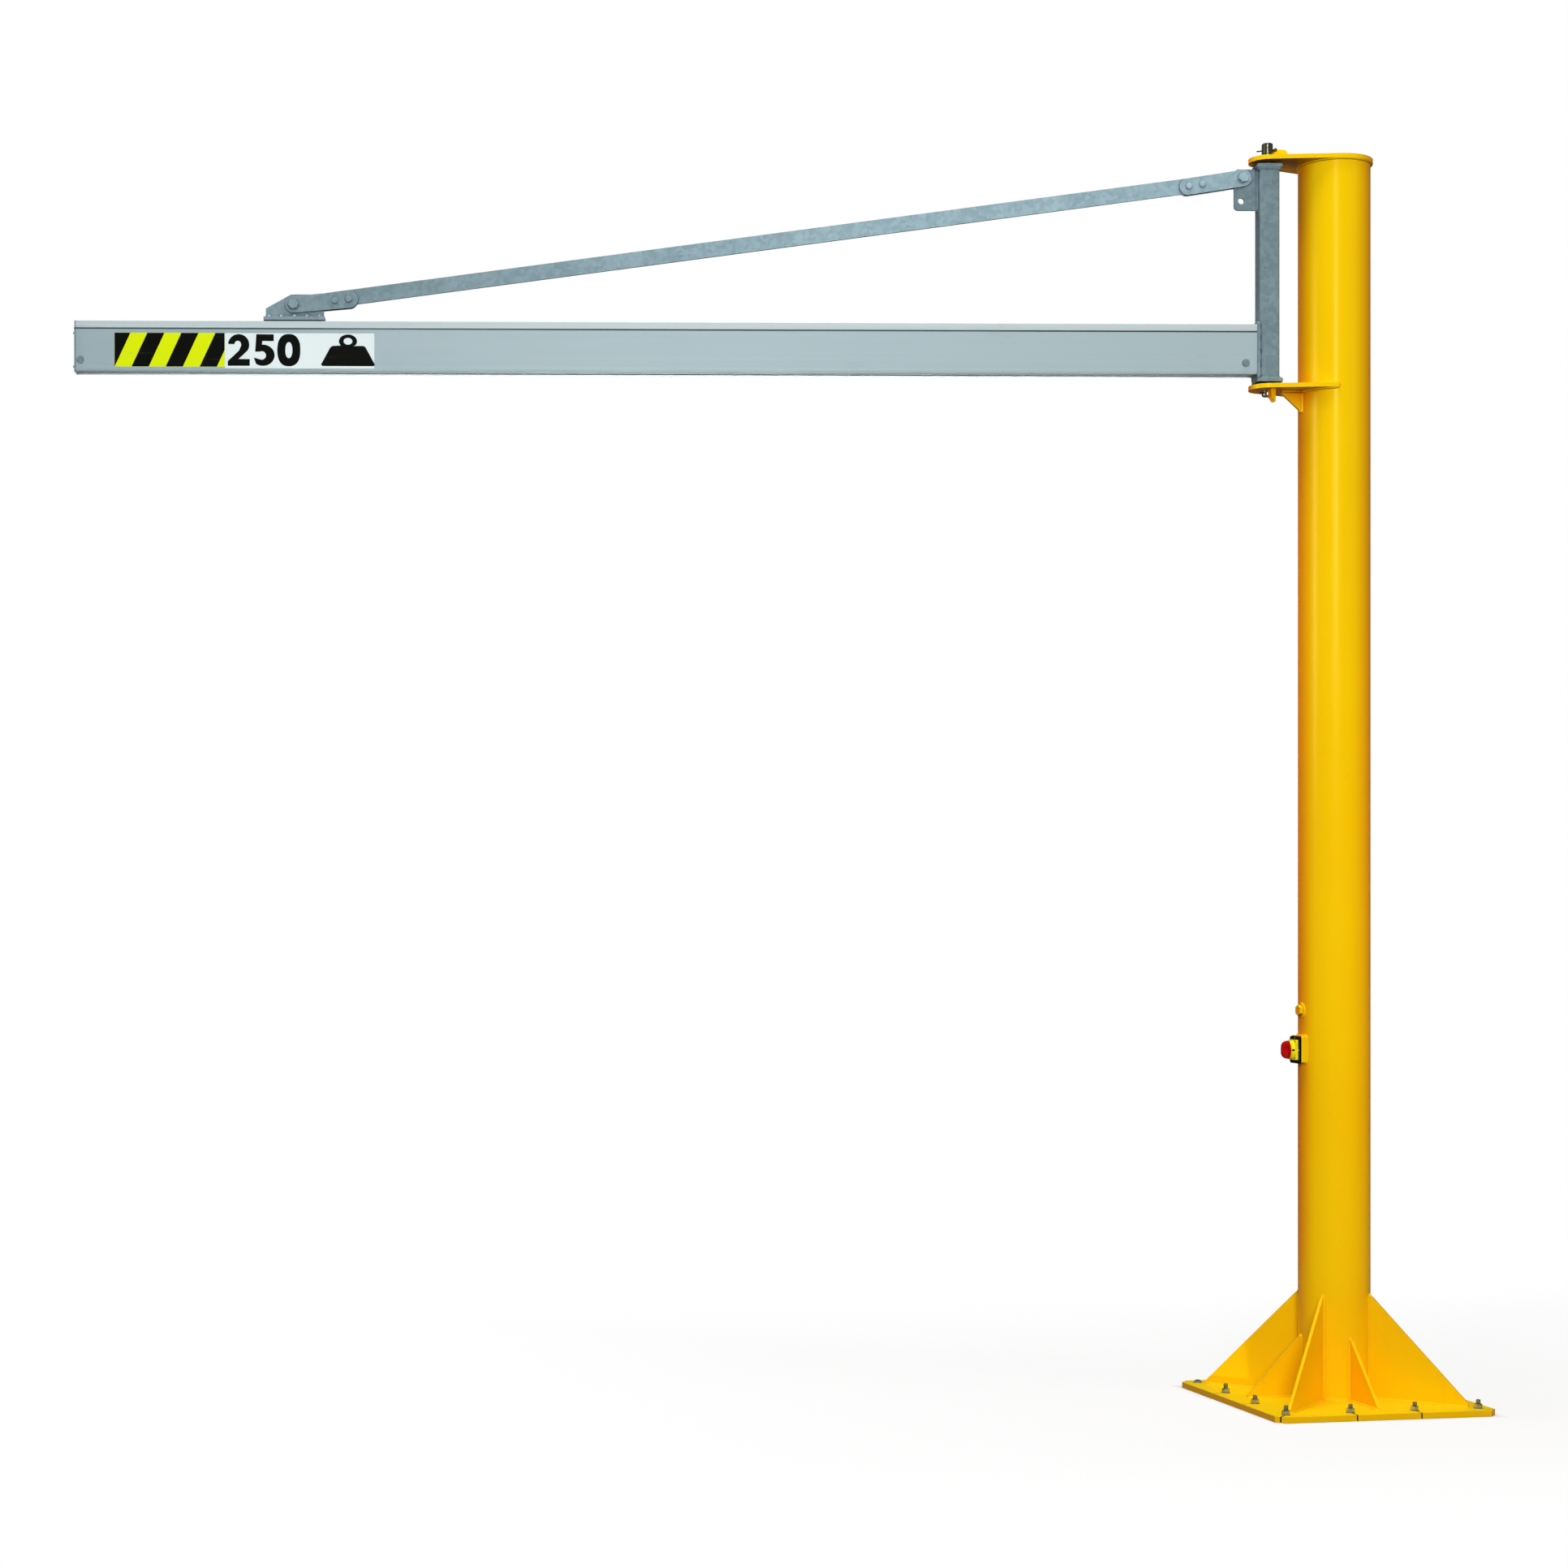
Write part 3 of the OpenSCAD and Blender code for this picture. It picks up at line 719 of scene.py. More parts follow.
class CraneStage(bpy.types.PropertyGroup):
    """Camera, lamps and floor."""

    lens: FloatProperty(
        name="Lens", description="Focal length of the camera", unit="CAMERA", default=65.97)
    eye: FloatVectorProperty(
        name="Camera place", description="Place of the camera", subtype="TRANSLATION",
        unit="LENGTH", size=3, default=(-4.695, -9.310, 1.645))
    turn: FloatProperty(
        name="Camera turn", description="Turn of the camera about the vertical",
        subtype="ANGLE", default=math.radians(-10.85))
    shift: FloatVectorProperty(
        name="Shift", description="Shift of the camera's frame", size=2, default=(0.1716, 0.0927))
    key: FloatProperty(
        name="Key lamp", description="Power of the tall lamp that streaks the pillar",
        unit="POWER", default=75.0)
    side: FloatProperty(
        name="Side lamps", description="Power of the two tall lamps at the sides together",
        unit="POWER", default=70.0)
    warm: FloatProperty(
        name="Warm lamps", description="Power of each narrow lamp that grazes the pillar",
        unit="POWER", default=1.8)
    fill: FloatProperty(
        name="Fill lamp", description="Power of the large front lamp", unit="POWER",
        default=860.0)
    top: FloatProperty(
        name="Top lamp", description="Power of the overhead lamp", unit="POWER", default=600.0)
    under: FloatProperty(
        name="Under lamp", description="Power of the narrow lamp below the beam",
        unit="POWER", default=24.0)
    ambient: FloatProperty(
        name="Ambient", description="Level of the surrounding light", default=0.12, min=0, max=1)
    mirrored: FloatProperty(
        name="Mirrored", description="Level of the surroundings seen in reflections",
        default=0.06, min=0, max=1)


SETTINGS = {
    "crane_look": CraneLook,
    "crane_fixings": CraneFixings,
    "crane_markings": CraneMarkings,
    "crane_stage": CraneStage,
}


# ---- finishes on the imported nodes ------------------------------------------

FINISH_OF_SLOT = {
    "galvanised_steel": "galvanised_post",
    "zinc_steel": "passivated_zinc",
    "bearing_steel": "greased_steel",
}
# nodes whose finish differs from that of their slot
FINISH_OF_NODE = {
    node: finish for finish, nodes in {
        "galvanised_tie": ("tie_bar", "tie_bracket_plate", "tie_foot", "upper_link_front",
                           "upper_link_back", "lower_link_front", "lower_link_back"),
        "galvanised_bolt": ("upper_tie_bolt", "lower_tie_bolt"),
        "stop_zinc": ("inner_end_stop", "outer_end_stop"),
        "passivated_pin": ("top_pin", "lower_pin"),
        "greased_steel": ("top_split_pin", "lower_split_pin"),
    }.items() for node in nodes
}


class CRANE_OT_finishes(bpy.types.Operator):
    """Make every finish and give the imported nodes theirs"""

    bl_idname = "crane.finishes"
    bl_label = "Finishes"

    def execute(self, context):
        look = context.scene.crane_look
        foot_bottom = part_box("tie_foot")[0].z
        pillar_paint(look)
        galvanised("galvanised_post", tone=look.zinc_tone, patchy=0.30)
        galvanised("galvanised_tie", tone=look.tie_tone, patchy=0.12, seam=foot_bottom + 0.004,
                   dull=0.38)
        galvanised("galvanised_bolt", tone=look.tie_tone * 1.1, patchy=0.15, dull=0.36)
        beam_aluminium()
        passivated_zinc("passivated_zinc", tone=0.95, metallic=0.8, rough=0.24)
        passivated_zinc("passivated_pin", tone=1.05, metallic=1.0, rough=0.20)
        bright_zinc("bright_zinc", tone=1.0, metallic=0.6)
        bright_zinc("stop_zinc", tone=0.34, metallic=0.0, blue=0.2)
        greased_steel()
        for name, colour, deep, rough, dirt, rub in (
                ("black_plastic", (11, 12, 10), (6, 6, 5), 0.60, 0.05, 0.03),
                ("yellow_plastic", (250, 232, 24), (240, 212, 18), 0.34, 0.06, 0.16),
                ("red_plastic", (186, 6, 6), (136, 2, 2), 0.50, 0.10, 0.03)):
            moulded(name, srgb(*colour), srgb(*deep), rough, dirt, rub)
        for name, colour, aged, worn in (
                ("tape_yellow", (216, 234, 4), (206, 224, 6), 0.18),
                ("tape_black", (6, 8, 5), (13, 16, 11), 0.06),
                ("sign_white", (222, 234, 235), (215, 227, 228), 0.25),
                ("sign_black", (7, 10, 7), (14, 17, 13), 0.06)):
            vinyl(name, srgb(*colour), srgb(*aged), worn)
        for part in frame["record"]["subparts"]:
            node, slot = part["node"], part["material_slot"]
            finish = FINISH_OF_NODE.get(node, FINISH_OF_SLOT.get(slot, slot))
            mesh = NODES[node].data
            mesh.materials.clear()
            mesh.materials.append(FINISHES[finish])
            mesh.polygons.foreach_set("material_index", [0] * len(mesh.polygons))
        return {"FINISHED"}


# ---- floor anchors ---------------------------------------------------------


def anchor_places():
    for mount in frame["record"]["mounts"]:
        if mount["kind"] == "bolt_pattern":
            wide, deep = (mount["dims"][f"spacing_{axis}_mm"] * MM / 2 for axis in "xy")
            for x in (-wide, wide):
                for y in (-deep, deep):
                    yield Vector((x, y, mount["pos_m"][2]))


def anchor(size, stand):
    """Resin stud with a washer and a nut, standing on z = 0."""
    shape = Shape()
    washer, nut, bore, rim = size * 0.1875, size * 0.81, size * 0.54, size * 0.94
    shape.lathe([(bore, 0), (rim, 0), (rim, washer * 0.7), (rim - 0.0006, washer), (bore, washer)],
                40, closed=True)
    shape.hexagon(size * 1.5, washer, washer + nut)
    shape.thread(size / 2, washer + nut - 0.002, washer + nut + stand)
    return shape


def domed_anchor(size):
    """Low anchor with a washer and a domed cap."""
    shape = Shape()
    rim, cap, washer, brim, dome = size * 0.94, size * 0.72, 0.003, 0.006, 0.005
    shape.lathe([(0.002, 0), (rim, 0), (rim, 0.002), (rim - 0.0006, washer), (cap, washer),
                 (cap, brim)] + [(cap * math.cos(a), brim + dome * math.sin(a))
                                 for a in (0.3, 0.6, 0.9, 1.2, 1.45)], 40)
    return shape


class CRANE_OT_anchors(bpy.types.Operator):
    """Set a floor anchor in each hole of the base plate"""

    bl_idname = "crane.anchors"
    bl_label = "Floor anchors"

    def execute(self, context):
        fixings = context.scene.crane_fixings
        rng = random.Random(12)
        places = sorted(anchor_places(), key=lambda p: (round(p.x, 3), round(p.y, 3)))
        if len(places) != 12:
            raise RuntimeError("the packed base plate should have twelve anchor holes")
        back_left = max(places, key=lambda p: p.y - p.x)
        for number, place in enumerate(places, 1):
            stand = fixings.anchor_stand + rng.uniform(-0.0025, 0.0025)
            spin = rng.uniform(0, TAU)
            lean = Vector((rng.uniform(-0.02, 0.02), rng.uniform(-0.02, 0.02), 1)).normalized()
            shape = anchor(fixings.anchor_size, stand)
            if place == back_left:
                shape = domed_anchor(fixings.anchor_size)
            shape.build(f"anchor_{number:02d}", ["passivated_zinc"], "pillar", "zinc_steel",
                        at(place - UP * 0.0002, lean, spin))
        return {"FINISHED"}


# ---- welds on the pillar ---------------------------------------------------


def pillar_weld(shape, name):
    shape.build(name, ["pillar_paint"], "pillar", "pillar_paint")


def pillar_ring(shape, z, rise, size, seed, opening=0.0):
    """Fillet round the pillar, open towards +X by an angle to each side."""
    turn = TAU - 2 * opening
    count = round(turn * PILLAR_R / BEAD_STEP)
    outs = [heading(opening + turn * k / count) for k in range(count + bool(opening))]
    shape.bead([out * PILLAR_R + UP * z for out in outs], [(out, rise) for out in outs],
               size, seed, closed=not opening)


def gusset_beads(shape, node, leg, seed):
    """Fillets along the plate, up the pillar and over both ends of one base gusset."""
    centre = middle(node)
    out = heading(math.atan2(centre.y, centre.x))
    side = UP.cross(out)
    half = extent(node, side)
    root, end, top = skin(half), extent(node, out) - 0.003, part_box(node)[1].z

    def spot(away, aside, height):
        return out * away + side * aside + UP * height

    for s in (1, -1):
        heel = spot(root, s * half, FOOT_TOP)
        shape.seam(heel, spot(end, s * half, FOOT_TOP), (side * s, UP), leg, seed + s)
        shape.seam(heel, spot(root, s * half, top), (side * s, out), leg, seed + s + 20)
    over, nose = half + 0.003, half + 0.002
    shape.seam(spot(root, -over, top - 0.001), spot(root, over, top - 0.001), (UP, out),
               leg * 2.0, seed + 40, FINE_STEP, bulge=0.5, pitch=0.009)
    shape.seam(spot(end, -nose, FOOT_TOP), spot(end, nose, FOOT_TOP), (out, UP),
               leg * 0.9, seed + 50, FINE_STEP)


class CRANE_OT_foot_welds(bpy.types.Operator):
    """Weld the pillar and its eight gussets to the base plate"""

    bl_idname = "crane.foot_welds"
    bl_label = "Foot welds"

    def execute(self, context):
        leg = context.scene.crane_fixings.weld_leg
        ring = Shape()
        pillar_ring(ring, FOOT_TOP, UP, leg * 1.2, 3)
        pillar_weld(ring, "pillar_foot_weld")
        for kind in ("corner_gusset", "side_gusset"):
            for number in range(1, 5):
                shape = Shape()
                gusset_beads(shape, f"{kind}_{number}", leg, number * 7 + len(kind))
                pillar_weld(shape, f"{kind}_{number}_weld")
        return {"FINISHED"}


class CRANE_OT_bracket_welds(bpy.types.Operator):
    """Weld both hinge brackets, the lower gusset and the two pin keepers"""

    bl_idname = "crane.bracket_welds"
    bl_label = "Bracket welds"

    def execute(self, context):
        leg = context.scene.crane_fixings.weld_leg
        self.top_bracket(leg)
        self.lower_bracket(leg)
        self.lower_gusset(leg)
        self.keepers(leg * 0.7)
        return {"FINISHED"}

    def top_bracket(self, leg):
        shape = Shape()
        pillar_ring(shape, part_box("top_bracket")[0].z, -UP, leg * 0.8, 5)
        pillar_weld(shape, "top_bracket_weld")

    def lower_bracket(self, leg):
        shape = Shape()
        low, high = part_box("lower_bracket")
        end = math.acos(high.x / PILLAR_R)
        pillar_ring(shape, high.z, UP, leg, 8, end)
        pillar_ring(shape, low.z, -UP, leg, 8, end)
        for angle, s in ((end, -1), (TAU - end, 1)):
            out = heading(angle)
            shape.seam(out * PILLAR_R + UP * (low.z - leg * 0.7),
                       out * PILLAR_R + UP * (high.z + leg * 0.7),
                       (heading(angle + s * math.pi / 2), out), leg * 1.3, 9, FINE_STEP,
                       bulge=0.45)
        pillar_weld(shape, "lower_bracket_weld")

    def lower_gusset(self, leg):
        shape = Shape()
        low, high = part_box("lower_bracket_gusset")
        for s in (1, -1):
            y = s * high.y
            top = (-skin(y), y, high.z)
            shape.seam((-skin(y), y, low.z), top, (ACROSS * s, -OUT), leg * 1.1, 11)
            shape.seam(top, (low.x, y, high.z), (ACROSS * s, -UP), leg * 0.9, 12)
        pillar_weld(shape, "lower_gusset_weld")

    def keepers(self, leg):
        shape = Shape()
        for node, rise in (("top_keeper", UP), ("lower_keeper", -UP)):
            low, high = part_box(node)
            z = low.z if rise.z > 0 else high.z
            for y, s in ((low.y, -1), (high.y, 1)):
                shape.seam((low.x + 0.002, y, z), (high.x - 0.002, y, z), (ACROSS * s, rise),
                           leg, 14 + s)
        pillar_weld(shape, "keeper_welds")


class CRANE_OT_switch_welds(bpy.types.Operator):
    """Weld the switch's box and the blanking plug's boss to the pillar"""

    bl_idname = "crane.switch_welds"
    bl_label = "Switch and plug welds"

    def execute(self, context):
        leg = context.scene.crane_fixings.weld_leg * 0.9
        self.box_weld(leg)
        self.plug_weld(leg * 0.8)
        return {"FINISHED"}

    def box_weld(self, leg):
        low, high = turned_box("switch_adapter", TO_SWITCH)
        turn = SWITCH.to_3x3()
        shape = Shape()
        corners = [(low.x, low.y), (high.x, low.y), (high.x, high.y), (low.x, high.y)]
        pushes = ((0, -1), (1, 0), (0, 1), (-1, 0))
        for start, end, (up, aside) in zip(corners, corners[1:] + corners[:1], pushes):
            path, legs = [], []
            for p in line(Vector((*start, 0)), Vector((*end, 0))):
                path.append(SWITCH @ Vector((p.x, p.y, skin(p.y))))
                slope = -p.y / skin(p.y) * aside
                legs.append((turn @ Vector((up, aside, slope)).normalized(), turn @ UP))
            shape.bead(path, legs, leg, 17)
        pillar_weld(shape, "switch_box_weld")

    def plug_weld(self, leg):
        centre, boss, count = middle("blanking_plug").z, 0.023, 84
        path, legs = [], []
        for k in range(count):
            out = heading(TAU * k / count)
            y = boss * out.y
            path.append(Vector((-skin(y), y, centre + boss * out.x)))
            legs.append((Vector((out.y * y / skin(y), out.y, out.x)).normalized(), -OUT))
        shape = Shape()
        shape.bead(path, legs, leg, 19, closed=True)
        pillar_weld(shape, "plug_weld")


# ---- welds on the jib --------------------------------------------------------


def square_path(half, radius, z):
    """A square with round corners, as points and outward directions, without repeats."""
    flat, points, outs = half - radius, [], []
    sides, bends = round(2 * flat / BEAD_STEP), round(radius * math.pi / 2 / BEAD_STEP)
    for quarter in range(4):
        turn = Matrix.Rotation(quarter * math.pi / 2, 3, "Z")
        for k in range(sides):
            points.append(turn @ Vector((half, -flat + 2 * flat * k / sides, 0)) + UP * z)
            outs.append(turn @ OUT)
        for k in range(bends):
            out = heading(math.pi / 2 * k / bends)
            points.append(turn @ (Vector((flat, flat, 0)) + out * radius) + UP * z)
            outs.append(turn @ out)
    return points, outs


class CRANE_OT_jib_welds(bpy.types.Operator):
    """Weld the hinge post's caps, the tie lug, the beam's end plate and the tie foot"""

    bl_idname = "crane.jib_welds"
    bl_label = "Jib welds"

    def execute(self, context):
        leg = context.scene.crane_fixings.weld_leg
        self.caps(leg * 1.15)
        self.lug(leg)
        self.end_plate(leg)
        self.foot(leg * 0.8)
        return {"FINISHED"}

    def build(self, shape, name, finish="galvanised_post"):
        shape.build(name, [finish], "jib", "galvanised_steel", JIB)

    def caps(self, leg):
        low, high = turned_box("hinge_tube")
        shape = Shape()
        for z, rise in ((low.z, UP), (high.z, -UP)):
            points, outs = square_path(high.x, 0.009, z)
            shape.bead(points, [(out, rise) for out in outs], leg, 23, closed=True)
        self.build(shape, "hinge_cap_welds")

    def lug(self, leg):
        low, high = turned_box("tie_lug")
        shape = Shape()
        for s in (1, -1):
            y = s * high.y
            shape.seam((low.x, y, low.z), (low.x, y, high.z), (ACROSS * s, OUT), leg, 27 + s)
        shape.seam(low, (low.x, high.y, low.z), (-UP, OUT), leg, 29, FINE_STEP)
        self.build(shape, "tie_lug_weld")

    def end_plate(self, leg):
        low, high = turned_box("beam_end_plate")
        stitch, gap, side, top = 0.034, 0.012, 0.0295, 0.031
        shape = Shape()
        for s in (1, -1):
            z = low.z + 0.006
            toes = ACROSS * s, (ACROSS * s * 0.35 - OUT).normalized()
            while z + stitch < high.z:
                shape.seam((low.x, s * side, z), (low.x, s * side, z + stitch), toes, leg, 31)
                z += stitch + gap
        shape.seam((low.x, -top, high.z), (low.x, top, high.z), (UP, OUT), leg * 1.5, 33,
                   bulge=0.4)
        self.build(shape, "end_plate_welds")

    def foot(self, leg):
        low, high = turned_box("tie_bracket_plate")
        shape = Shape()
        for s in (1, -1):
            y = s * high.y
            shape.seam((low.x + 0.004, y, low.z), (high.x - 0.004, y, low.z), (ACROSS * s, UP),
                       leg, 37 + s)
        self.build(shape, "tie_foot_weld", "galvanised_tie")


# ---- bolts and screws on the jib ---------------------------------------------


def bolt_head(flats, thick, washer_r, washer_t):
    """Hexagon head over a washer that lies on z = 0."""
    shape = Shape()
    shape.lathe([(0.002, 0), (washer_r, 0), (washer_r, washer_t * 0.7),
                 (washer_r - 0.0005, washer_t), (0.002, washer_t)], 40)
    shape.hexagon(flats, washer_t, washer_t + thick, both_chamfers=False)
    return shape


class CRANE_OT_link_bolts(bpy.types.Operator):
    """Bolt the links of both ends to the tie bar"""

    bl_idname = "crane.link_bolts"
    bl_label = "Link bolts"

    def execute(self, context):
        size = context.scene.crane_fixings.link_bolt
        washer, end_gaps = 0.0024, (0.0315, 0.0795)
        rng = random.Random(31)
        for end in ("upper", "lower"):
            pivot = sum(turned_box(f"{end}_tie_bolt"), Vector()) / 2
            link = spots(f"{end}_link_front")
            face = max(p.y for p in link)
            far = max(link, key=lambda p: (p.xz - pivot.xz).length)
            along = sum((p - pivot for p in link), Vector()) / len(link)
            along = Vector((along.x, 0, along.z)).normalized()
            length = (far - pivot).dot(along)
            for number, gap in enumerate(end_gaps, 1):
                spot = pivot + along * (length - gap)
                shape = Shape()
                for s, thick, foot, stand in ((1, 0.62, 0.001, 0.002),
                                              (-1, 0.8, 0.002, size * 0.8 + 0.007)):
                    head = bolt_head(size * 1.6, size * thick, size, washer)
                    head.thread(size / 2, foot, stand)
                    shape.add(head, at(Vector((spot.x, s * face, spot.z)), ACROSS * s,
                                       rng.uniform(0, 1)))
                shape.build(f"{end}_link_bolt_{number}", ["galvanised_bolt"], "jib",
                            "galvanised_steel", JIB)
        return {"FINISHED"}


class CRANE_OT_foot_screws(bpy.types.Operator):
    """Screw the tie foot to the beam along both of its sides"""

    bl_idname = "crane.foot_screws"
    bl_label = "Foot screws"

    def execute(self, context):
        count = context.scene.crane_fixings.foot_screws
        low, high = turned_box("tie_foot")
        edge, first, last = 0.013, 0.018, 0.017
        rng = random.Random(37)
        shape = Shape()
        for s in (1, -1):
            for k in range(count):
                out = high.x - first - (high.x - low.x - first - last) * k / (count - 1)
                screw = bolt_head(flats=0.010, thick=0.0055, washer_r=0.0075, washer_t=0.0016)
                shape.add(screw, at(Vector((out, s * (high.y - edge), high.z)),
                                    spin=rng.uniform(0, 1)))
        shape.build("foot_screws", ["bright_zinc"], "jib", "zinc_steel", JIB)
        return {"FINISHED"}


class CRANE_OT_cap_screws(bpy.types.Operator):
    """Screw the beam's end cap on with four button heads"""

    bl_idname = "crane.cap_screws"
    bl_label = "End cap screws"

    def execute(self, context):
        low, high = turned_box("beam_end_cap")
        dome, socket, inset, rise, drop = 0.0046, 0.0018, 0.013, 0.017, 0.042
        shape = Shape()
        for y in (low.y + inset, high.y - inset):
            for z in (low.z + rise, high.z - drop):
                head = Shape()
                head.lathe([(dome, 0), (dome, 0.0018), (dome * 0.86, 0.0034),
                            (dome * 0.6, 0.0043), (socket, 0.0046), (socket, 0.0022)], 28)
                shape.add(head, at(Vector((high.x, y, z)), OUT))
        shape.build("end_cap_screws", ["stop_zinc"], "jib", "zinc_steel", JIB)
        return {"FINISHED"}


# ---- markings on the beam ------------------------------------------------------


def curve(centre, radii, start, end, steps=20):
    """Points along an elliptical arc, in degrees."""
    turns = [math.radians(start + (end - start) * k / steps) for k in range(steps + 1)]
    return [(centre[0] + radii[0] * math.cos(a), centre[1] + radii[1] * math.sin(a))
            for a in turns]


def oval(centre, radii, power, steps=48):
    """Points of an oval whose sides flatten as the power rises above 2."""

    def swell(c):
        return math.copysign(abs(c) ** (2 / power), c)

    return [(centre[0] + radii[0] * swell(math.cos(TAU * k / steps)),
             centre[1] + radii[1] * swell(math.sin(TAU * k / steps))) for k in range(steps)]


def clip(outline, low, high):
    """A convex outline cut off beyond two upright lines."""
    for bound, s in ((low, 1), (high, -1)):
        kept = []
        for a, b in zip(outline, outline[1:] + outline[:1]):
            inside_a, inside_b = (s * (p[0] - bound) >= 0 for p in (a, b))
            if inside_a:
                kept.append(a)
            if inside_a != inside_b:
                t = (bound - a[0]) / (b[0] - a[0])
                kept.append((bound, a[1] + (b[1] - a[1]) * t))
        outline = kept
    return outline


def round_corners(width, height, radius):
    points = []
    for x, y, start in ((width - radius, height - radius, 0), (radius, height - radius, 90),
                        (radius, radius, 180), (width - radius, radius, 270)):
        points += curve((x, y), (radius, radius), start, start + 90, 5)
    return points


GLYPH_HEIGHT = 1.35
# outlines one unit wide: the edge first, then any hole
GLYPHS = {
    "0": [oval((0.5, 0.675), (0.51, 0.69), 2.4), oval((0.5, 0.675), (0.155, 0.34), 2.2)],
    "2": [[(0.03, 0.93)] + curve((0.48, 0.90), (0.47, 0.45), 172, -32)
          + [(0.60, 0.40), (0.47, 0.29), (0.97, 0.29), (0.97, 0), (0, 0), (0, 0.20),
             (0.50, 0.66)] + curve((0.44, 0.90), (0.15, 0.17), -40, 172)],
    "5": [[(0.16, 1.35), (0.93, 1.35), (0.93, 1.06), (0.43, 1.06), (0.415, 0.915)]
          + curve((0.45, 0.455), (0.52, 0.455), 95, -125)
          + [(0.05, 0.36)] + curve((0.40, 0.445), (0.19, 0.18), -110, 110)
          + [(0.11, 0.60)]],
}
# a cast weight with a ring handle, two units wide
WEIGHT = [
    [(0.02, 0.06), (0.08, 0), (1.92, 0), (1.98, 0.06), (1.64, 0.80), (1.56, 0.86), (1.18, 0.86)]
    + curve((1.0, 1.06), (0.33, 0.29), -38, 218, 32)
    + [(0.44, 0.86), (0.36, 0.80)],
    curve((1.0, 1.06), (0.16, 0.145), 0, 345, 23),
]
# heights over the beam between which a film and the print on it lie
BACKING, PRINT = (-0.0001, 0.0003), (0.0002, 0.00045)


class Film:
    """Flat film laid on one side of the beam. x runs the way that side is read."""

    def __init__(self, side, outboard, length, low):
        start = outboard if side > 0 else outboard - length
        self.shape = Shape()
        self.place = Matrix((
            (-side, 0, 0, start), (0, 0, side, side * turned_box("beam")[1].y), (0, 1, 0, low),
            (0, 0, 0, 1)))

    def lay(self, outlines, layer, kind, corner=(0, 0), scale=(1, 1)):
        """One layer: an edge and its holes, between two heights."""
        loops = [[Vector((corner[0] + x * scale[0], corner[1] + y * scale[1], 0))
                  for x, y in outline] for outline in outlines]
        first = len(self.shape.points)
        flat = [p for loop in loops for p in loop]
        for height in reversed(layer):
            self.shape.points += [self.place @ (p + UP * height) for p in flat]
        for corners in tessellate_polygon(loops):
            self.shape.face([first + c for c in corners], kind)
            self.shape.face([first + len(flat) + c for c in reversed(corners)], kind)
        for loop in loops:
            n = len(loop)
            for k in range(n):
                a, b = first + k, first + (k + 1) % n
                self.shape.face((a, b, b + len(flat), a + len(flat)), kind)
            first += n

    def build(self, name, finishes):
        self.shape.build(name, finishes, "jib", "beam_aluminium", JIB)


class CRANE_OT_tape(bpy.types.Operator):
    """Stick striped warning tape on both sides of the beam near its free end"""

    bl_idname = "crane.tape"
    bl_label = "Warning tape"

    def execute(self, context):
        marks = context.scene.crane_markings
        beam_low, beam_high = turned_box("beam")
        length, height = marks.tape_length, marks.tape_height
        lean, rim, period = 0.054, 0.0004, 2 * marks.stripe
        for side, name in ((1, "front"), (-1, "back")):
            film = Film(side, beam_high.x - marks.tape_end, length, beam_low.z + 0.0155)
            film.lay([round_corners(length, height, 0.0015)], BACKING, 0)
            for k in range(math.ceil(length / period) + 1):
                top = k * period
                band = [(top - lean - 0.004, rim), (top + 0.001, rim),
                        (top + lean + 0.001, height - rim), (top - 0.004, height - rim)]
                if side < 0:
                    band = [(length - x, y) for x, y in reversed(band)]
                band = clip(band, rim, length - rim)
                if len(band) > 2:
                    film.lay([band], PRINT, 1)
            film.build(f"tape_{name}", ["tape_yellow", "tape_black"])
        return {"FINISHED"}


class CRANE_OT_sign(bpy.types.Operator):
    """Stick a load sign with a plain number and a weight on both sides of the beam"""

    bl_idname = "crane.sign"
    bl_label = "Load sign"

    def execute(self, context):
        marks = context.scene.crane_markings
        beam_low, beam_high = turned_box("beam")
        length, height = marks.sign_length, marks.tape_height + 0.004
        outboard = beam_high.x - marks.tape_end - marks.tape_length - 0.0005
        wide, tall, gap, start, margin = 0.078, 0.109 / GLYPH_HEIGHT, 0.0075, 0.010, 0.008
        weight_gap, weight_half = 0.062, 0.095
        for side, name in ((1, "front"), (-1, "back")):
            film = Film(side, outboard, length, beam_low.z + 0.011)
            film.lay([round_corners(length, height, 0.003)], BACKING, 0)
            x = start
            for digit in marks.number:
                film.lay(GLYPHS[digit], PRINT, 1, (x, margin), (wide, tall))
                x += wide + gap
            film.lay(WEIGHT, PRINT, 1, (x + weight_gap, margin), (weight_half, tall))
            film.build(f"sign_{name}", ["sign_white", "sign_black"])
        return {"FINISHED"}


# ---- switch --------------------------------------------------------------------


